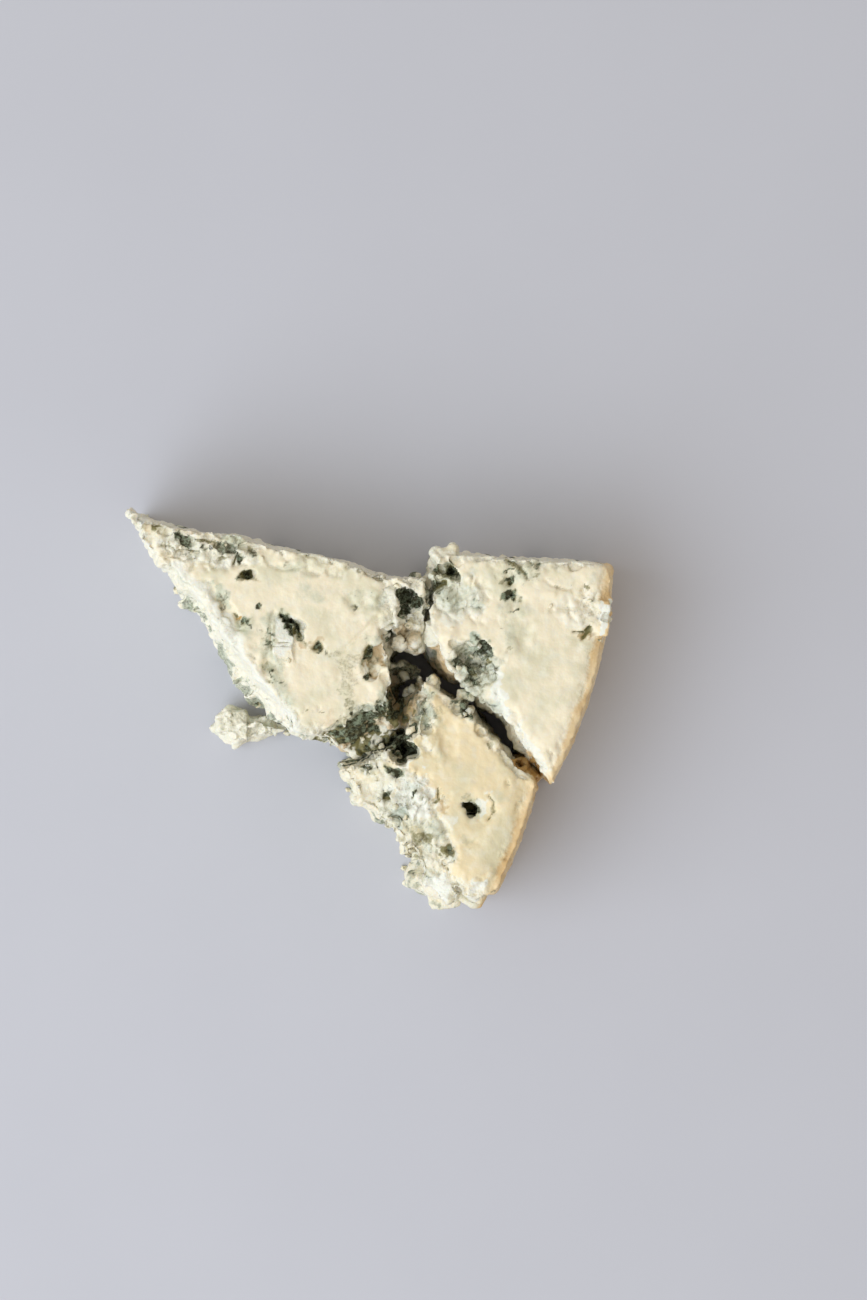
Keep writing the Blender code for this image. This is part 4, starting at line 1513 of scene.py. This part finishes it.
def blended(tree, pattern, lowest, highest, most, first, second):
    """The first colour where the pattern is low, and up to so much of the second where it is high."""
    share = added(
        tree,
        "ShaderNodeMapRange",
        {"Value": pattern, "From Min": lowest, "From Max": highest, "To Max": most},
        interpolation_type="SMOOTHSTEP",
    )
    mixed = added(tree, "ShaderNodeMix", {0: share.outputs[0], 6: first, 7: second}, data_type="RGBA")
    return mixed.outputs[2]


def laid(tree, below, name, colour, grain, softness=0.65):
    """Lays a stain over the colour below it, as strong as its attribute and broken up by the grain."""
    strength = added(tree, "ShaderNodeAttribute", attribute_name=name).outputs["Fac"]
    ragged = added(tree, "ShaderNodeMath", {0: grain, 1: 0.7, 2: strength}, operation="MULTIPLY_ADD")
    cover = added(
        tree,
        "ShaderNodeMapRange",
        {"Value": ragged.outputs[0], "From Min": 0.5, "From Max": 0.5 + softness},
        interpolation_type="SMOOTHSTEP",
    )
    mixed = added(tree, "ShaderNodeMix", {0: cover.outputs[0], 6: below, 7: colour}, data_type="RGBA")
    return mixed.outputs[2], cover.outputs[0]


def paste_material(name, cream, colours):
    """Blue cheese paste: pressed curd, cut or crumbled by hand, with mould grown in its cracks.

    The fat makes it matt with a soft sheen and lets a little light in, the mould is dry and furry,
    and the dried rind is dull.
    """
    material = bpy.data.materials.new(name)
    material.use_nodes = True
    tree = material.node_tree
    shader = tree.nodes["Principled BSDF"]
    where = added(tree, "ShaderNodeTexCoord").outputs["Object"]

    # Clouds of duller paste, curd marks, grain and tufts of mould, by their width in millimetres.
    noises = {}
    for kind, width, detail, roughness in (
        ("clouds", 7.0, 5.0, 0.5),
        ("marks", 2.0, 4.0, 0.5),
        ("grain", 0.55, 3.0, 0.5),
        ("tufts", 0.9, 4.0, 0.7),
    ):
        sockets = {"Vector": where, "Scale": per_metre(width), "Detail": detail, "Roughness": roughness}
        noises[kind] = added(tree, "ShaderNodeTexNoise", sockets).outputs["Fac"]
    grain = noises["grain"]

    # The paste, the rind and the mould, each of two colours that a noise blends.
    chalk = opaque(colours.chalk)
    paste = blended(tree, noises["clouds"], 0.42, 0.66, 0.6, opaque(cream), opaque(colours.greyed_cream))
    curd = blended(tree, noises["marks"], 0.45, 0.7, 0.3, paste, chalk)
    rinds = (opaque(colours.rind_tan), opaque(colours.rind_brown))
    dried = blended(tree, noises["clouds"], 0.35, 0.7, 1.0, *rinds)
    moulds = (opaque(colours.slate), opaque(colours.grey_green))
    mould = blended(tree, noises["tufts"], 0.44, 0.62, 1.0, *moulds)

    colour, _ = laid(tree, curd, "chalk", chalk, grain)
    colour, _ = laid(tree, colour, "rind", dried, grain)
    colour, _ = laid(tree, colour, "ochre", opaque(colours.ochre), noises["marks"], 1.0)
    colour, _ = laid(tree, colour, "mint", opaque(colours.mint), noises["tufts"], 1.25)
    colour, _ = laid(tree, colour, "olive", opaque(colours.olive), grain)
    colour, furry = laid(tree, colour, "mould", mould, grain)
    tree.links.new(colour, shader.inputs["Base Color"])

    dry = added(tree, "ShaderNodeMapRange", {"Value": furry, "To Min": 0.5, "To Max": 0.95})
    tree.links.new(dry.outputs[0], shader.inputs["Roughness"])
    broken = added(tree, "ShaderNodeAttribute", attribute_name="broken").outputs["Fac"]
    coarse = added(tree, "ShaderNodeMapRange", {"Value": broken, "To Min": 0.25, "To Max": 1.0})
    relief_sockets = {"Height": grain, "Strength": coarse.outputs[0], "Distance": 0.25 * MM}
    bump = added(tree, "ShaderNodeBump", relief_sockets)
    tree.links.new(bump.outputs[0], shader.inputs["Normal"])
    shader.inputs["IOR"].default_value = 1.46
    shader.inputs["Subsurface Weight"].default_value = 0.15
    shader.inputs["Subsurface Radius"].default_value = (1.0, 0.75, 0.45)
    shader.inputs["Subsurface Scale"].default_value = 1.2 * MM
    return material


def crumb_attributes(shape):
    """Writes the attributes of loose crumbs: mouldy on one side and chalky on the other."""
    points = [Vector(p) for p in points_of(shape)]
    mottle = clouds(points, 2.2)
    cover = {
        "mould": smooth_step(mottle, 0.1, 0.6) * 0.8,
        "olive": smooth_step(mottle, -0.1, 0.3) * 0.5,
        "mint": smooth_step(-mottle, -0.2, 0.3) * 0.5,
        "ochre": np.zeros(len(points)),
        "chalk": smooth_step(-mottle, 0.0, 0.4) * 0.6,
        "rind": np.zeros(len(points)),
        "broken": np.ones(len(points)),
    }
    write_attributes(shape, cover)


def carried_height(x, y):
    """The height of the highest cheese at a pixel, or 0 for the floor."""
    heights = [0.0]
    into = into_frame()
    back = into.inverted()
    for shape in bpy.context.scene.objects:
        if shape.name not in (TIP.name, LEFT_HEEL.name, RIGHT_HEEL.name):
            continue
        start = into @ from_pixel(x, y, HEIGHT + 8.0)
        end = into @ from_pixel(x, y, 0.0)
        hit, place, _, _ = shape.ray_cast(start, (end - start).normalized())
        if hit:
            heights.append((back @ place).z)
    return max(heights)


def make_crumbs(name, crumbs, material):
    """Makes loose crumbs, each let down on whatever lies under it."""
    dice = random.Random(name)
    mesh = bmesh.new()
    for x, y, radius in crumbs:
        halves = (radius, radius * dice.uniform(0.65, 0.95), radius * dice.uniform(0.55, 0.85))
        height = carried_height(x, y) + halves[2] * 0.35
        add_lump(mesh, from_pixel(x, y, height), halves, dice.uniform(0, math.tau), 1)
    bmesh.ops.subdivide_edges(mesh, edges=mesh.edges[:], cuts=2, use_grid_fill=True)
    for vert in mesh.verts:
        vert.co += noise.noise_vector(vert.co / 0.9) * 0.3
        vert.co.z = max(vert.co.z, 0.02)
    bmesh.ops.recalc_face_normals(mesh, faces=mesh.faces[:])
    shape = new_shape(name, mesh)
    crumb_attributes(shape)
    finished(shape, material, name)
    return shape


def panel_settings(context):
    """The sizes and colours that the panel holds."""
    return context.scene.cheese_sizes, context.scene.cheese_colours


class CHEESE_OT_tip(bpy.types.Operator):
    """Make the front of the wedge, up to the break across it"""

    bl_idname = "cheese.tip"
    bl_label = "Tip chunk"

    def execute(self, context):
        sizes, colours = panel_settings(context)
        material = paste_material("creamy blue cheese paste", colours.cream, colours)
        make_piece(TIP, "tip_chunk", material, sizes)
        return {"FINISHED"}


class CHEESE_OT_left_heel(bpy.types.Operator):
    """Make the bigger half of the wedge's back, with most of its rind"""

    bl_idname = "cheese.left_heel"
    bl_label = "Left heel chunk"

    def execute(self, context):
        sizes, colours = panel_settings(context)
        material = paste_material("creamy blue cheese paste with rind", colours.cream, colours)
        make_piece(LEFT_HEEL, "left_heel_chunk", material, sizes)
        return {"FINISHED"}


class CHEESE_OT_right_heel(bpy.types.Operator):
    """Make the smaller, crumbling half of the wedge's back"""

    bl_idname = "cheese.right_heel"
    bl_label = "Right heel chunk"

    def execute(self, context):
        sizes, colours = panel_settings(context)
        material = paste_material("yellow blue cheese paste with rind", colours.yellow_cream, colours)
        make_piece(RIGHT_HEEL, "right_heel_chunk", material, sizes)
        return {"FINISHED"}


class CHEESE_OT_side_crumb(bpy.types.Operator):
    """Make the crumb that has fallen beside the tip"""

    bl_idname = "cheese.side_crumb"
    bl_label = "Side crumb"

    def execute(self, context):
        sizes, colours = panel_settings(context)
        material = paste_material("mouldy blue cheese paste", colours.cream, colours)
        make_piece(SIDE_CRUMB, "side_crumb", material, sizes)
        return {"FINISHED"}


class CHEESE_OT_crumbs(bpy.types.Operator):
    """Make the loose crumbs in the crevice, at the foot of the walls and on the top"""

    bl_idname = "cheese.crumbs"
    bl_label = "Loose crumbs"

    def execute(self, context):
        _, colours = panel_settings(context)
        material = paste_material("crumbled blue cheese paste", colours.cream, colours)
        for name, crumbs in (("crevice_crumbs", CREVICE_CRUMBS), ("top_crumbs", TOP_CRUMBS)):
            make_crumbs(name, crumbs, material)
        return {"FINISHED"}


class CHEESE_OT_stage(bpy.types.Operator):
    """Make the pale floor, the soft lights and the camera"""

    bl_idname = "cheese.stage"
    bl_label = "Stage"

    def execute(self, context):
        make_floor()
        make_lights(context.scene)
        make_camera(context.scene)
        return {"FINISHED"}


def make_floor():
    """A plain pale floor of painted board: even and matt, with hardly any texture."""
    mesh = bmesh.new()
    bmesh.ops.create_grid(mesh, x_segments=1, y_segments=1, size=2000.0)
    floor = new_shape("floor", mesh)
    floor.data.transform(Matrix.Scale(MM, 4))
    material = bpy.data.materials.new("painted board")
    material.use_nodes = True
    tree = material.node_tree
    shader = tree.nodes["Principled BSDF"]
    where = added(tree, "ShaderNodeTexCoord").outputs["Object"]
    mottle = added(tree, "ShaderNodeTexNoise", {"Vector": where, "Scale": per_metre(40.0), "Detail": 3.0})
    shade = added(
        tree,
        "ShaderNodeMix",
        {0: mottle.outputs["Fac"], 6: opaque(linear("C2C3C9")), 7: opaque(linear("BEBFC5"))},
        data_type="RGBA",
    )
    tree.links.new(shade.outputs[2], shader.inputs["Base Color"])
    shader.inputs["Roughness"].default_value = 0.8
    floor.data.materials.append(material)


def make_lights(scene):
    """A wide cool window light from the photograph's lower left, and a dim warm room round it."""
    world = bpy.data.worlds.new("room")
    world.use_nodes = True
    background = world.node_tree.nodes["Background"]
    background.inputs["Color"].default_value = opaque(linear("FAF2E8"))
    background.inputs["Strength"].default_value = 0.6
    scene.world = world
    lamp = bpy.data.lights.new("window", "AREA")
    lamp.size = 1.4
    lamp.energy = 17.5
    lamp.color = linear("E9F2FF")
    window = bpy.data.objects.new("window", lamp)
    scene.collection.objects.link(window)
    way = Matrix.Rotation(WEDGE_TURN, 3, "Z") @ Vector(WINDOW_WAY)
    window.location = way.normalized() * WINDOW_DISTANCE
    window.rotation_mode = "QUATERNION"
    window.rotation_quaternion = way.to_track_quat("Z", "Y")
    scene.view_settings.view_transform = "Standard"


def make_camera(scene):
    """A camera straight above, rolled so that the wedge lies as it does in the photograph."""
    lens = bpy.data.cameras.new("camera")
    lens.sensor_width = SENSOR_WIDTH
    lens.lens = SENSOR_WIDTH * CAMERA_ABOVE_TOP * PIXELS_PER_MM / PHOTO_LONG_SIDE
    camera = bpy.data.objects.new("camera", lens)
    scene.collection.objects.link(camera)
    camera.location = into_frame() @ Vector((*PLAN_MIDDLE, HEIGHT + CAMERA_ABOVE_TOP))
    camera.rotation_euler = (0.0, 0.0, WEDGE_TURN)
    lens.clip_start = 0.01
    scene.camera = camera


class CHEESE_PT_panel(bpy.types.Panel):
    """Lists the pieces of the wedge"""

    bl_idname = "CHEESE_PT_panel"
    bl_label = "Blue cheese wedge"
    bl_space_type = "VIEW_3D"
    bl_region_type = "UI"
    bl_category = "Cheese"

    def draw(self, context):
        for group in panel_settings(context):
            for name in group.bl_rna.properties.keys():
                if name not in ("rna_type", "name"):
                    self.layout.prop(group, name)
        for operator in OPERATORS:
            self.layout.operator(operator.bl_idname)


OPERATORS = (
    CHEESE_OT_stage,
    CHEESE_OT_tip,
    CHEESE_OT_left_heel,
    CHEESE_OT_right_heel,
    CHEESE_OT_side_crumb,
    CHEESE_OT_crumbs,
)
CLASSES = (CheeseSizes, CheeseColours, *OPERATORS, CHEESE_PT_panel)


def register():
    """Registers the add-on's classes and its settings."""
    for each in CLASSES:
        bpy.utils.register_class(each)
    bpy.types.Scene.cheese_sizes = PointerProperty(type=CheeseSizes)
    bpy.types.Scene.cheese_colours = PointerProperty(type=CheeseColours)


def unregister():
    """Removes the add-on's settings and classes."""
    del bpy.types.Scene.cheese_colours
    del bpy.types.Scene.cheese_sizes
    for each in reversed(CLASSES):
        bpy.utils.unregister_class(each)


def main():
    """Makes the stage and every piece."""
    register()
    noise.seed_set(NOISE_SEED)
    bpy.ops.cheese.stage()
    bpy.ops.cheese.tip()
    bpy.ops.cheese.left_heel()
    bpy.ops.cheese.right_heel()
    bpy.ops.cheese.side_crumb()
    bpy.ops.cheese.crumbs()


if __name__ == "__main__":
    main()
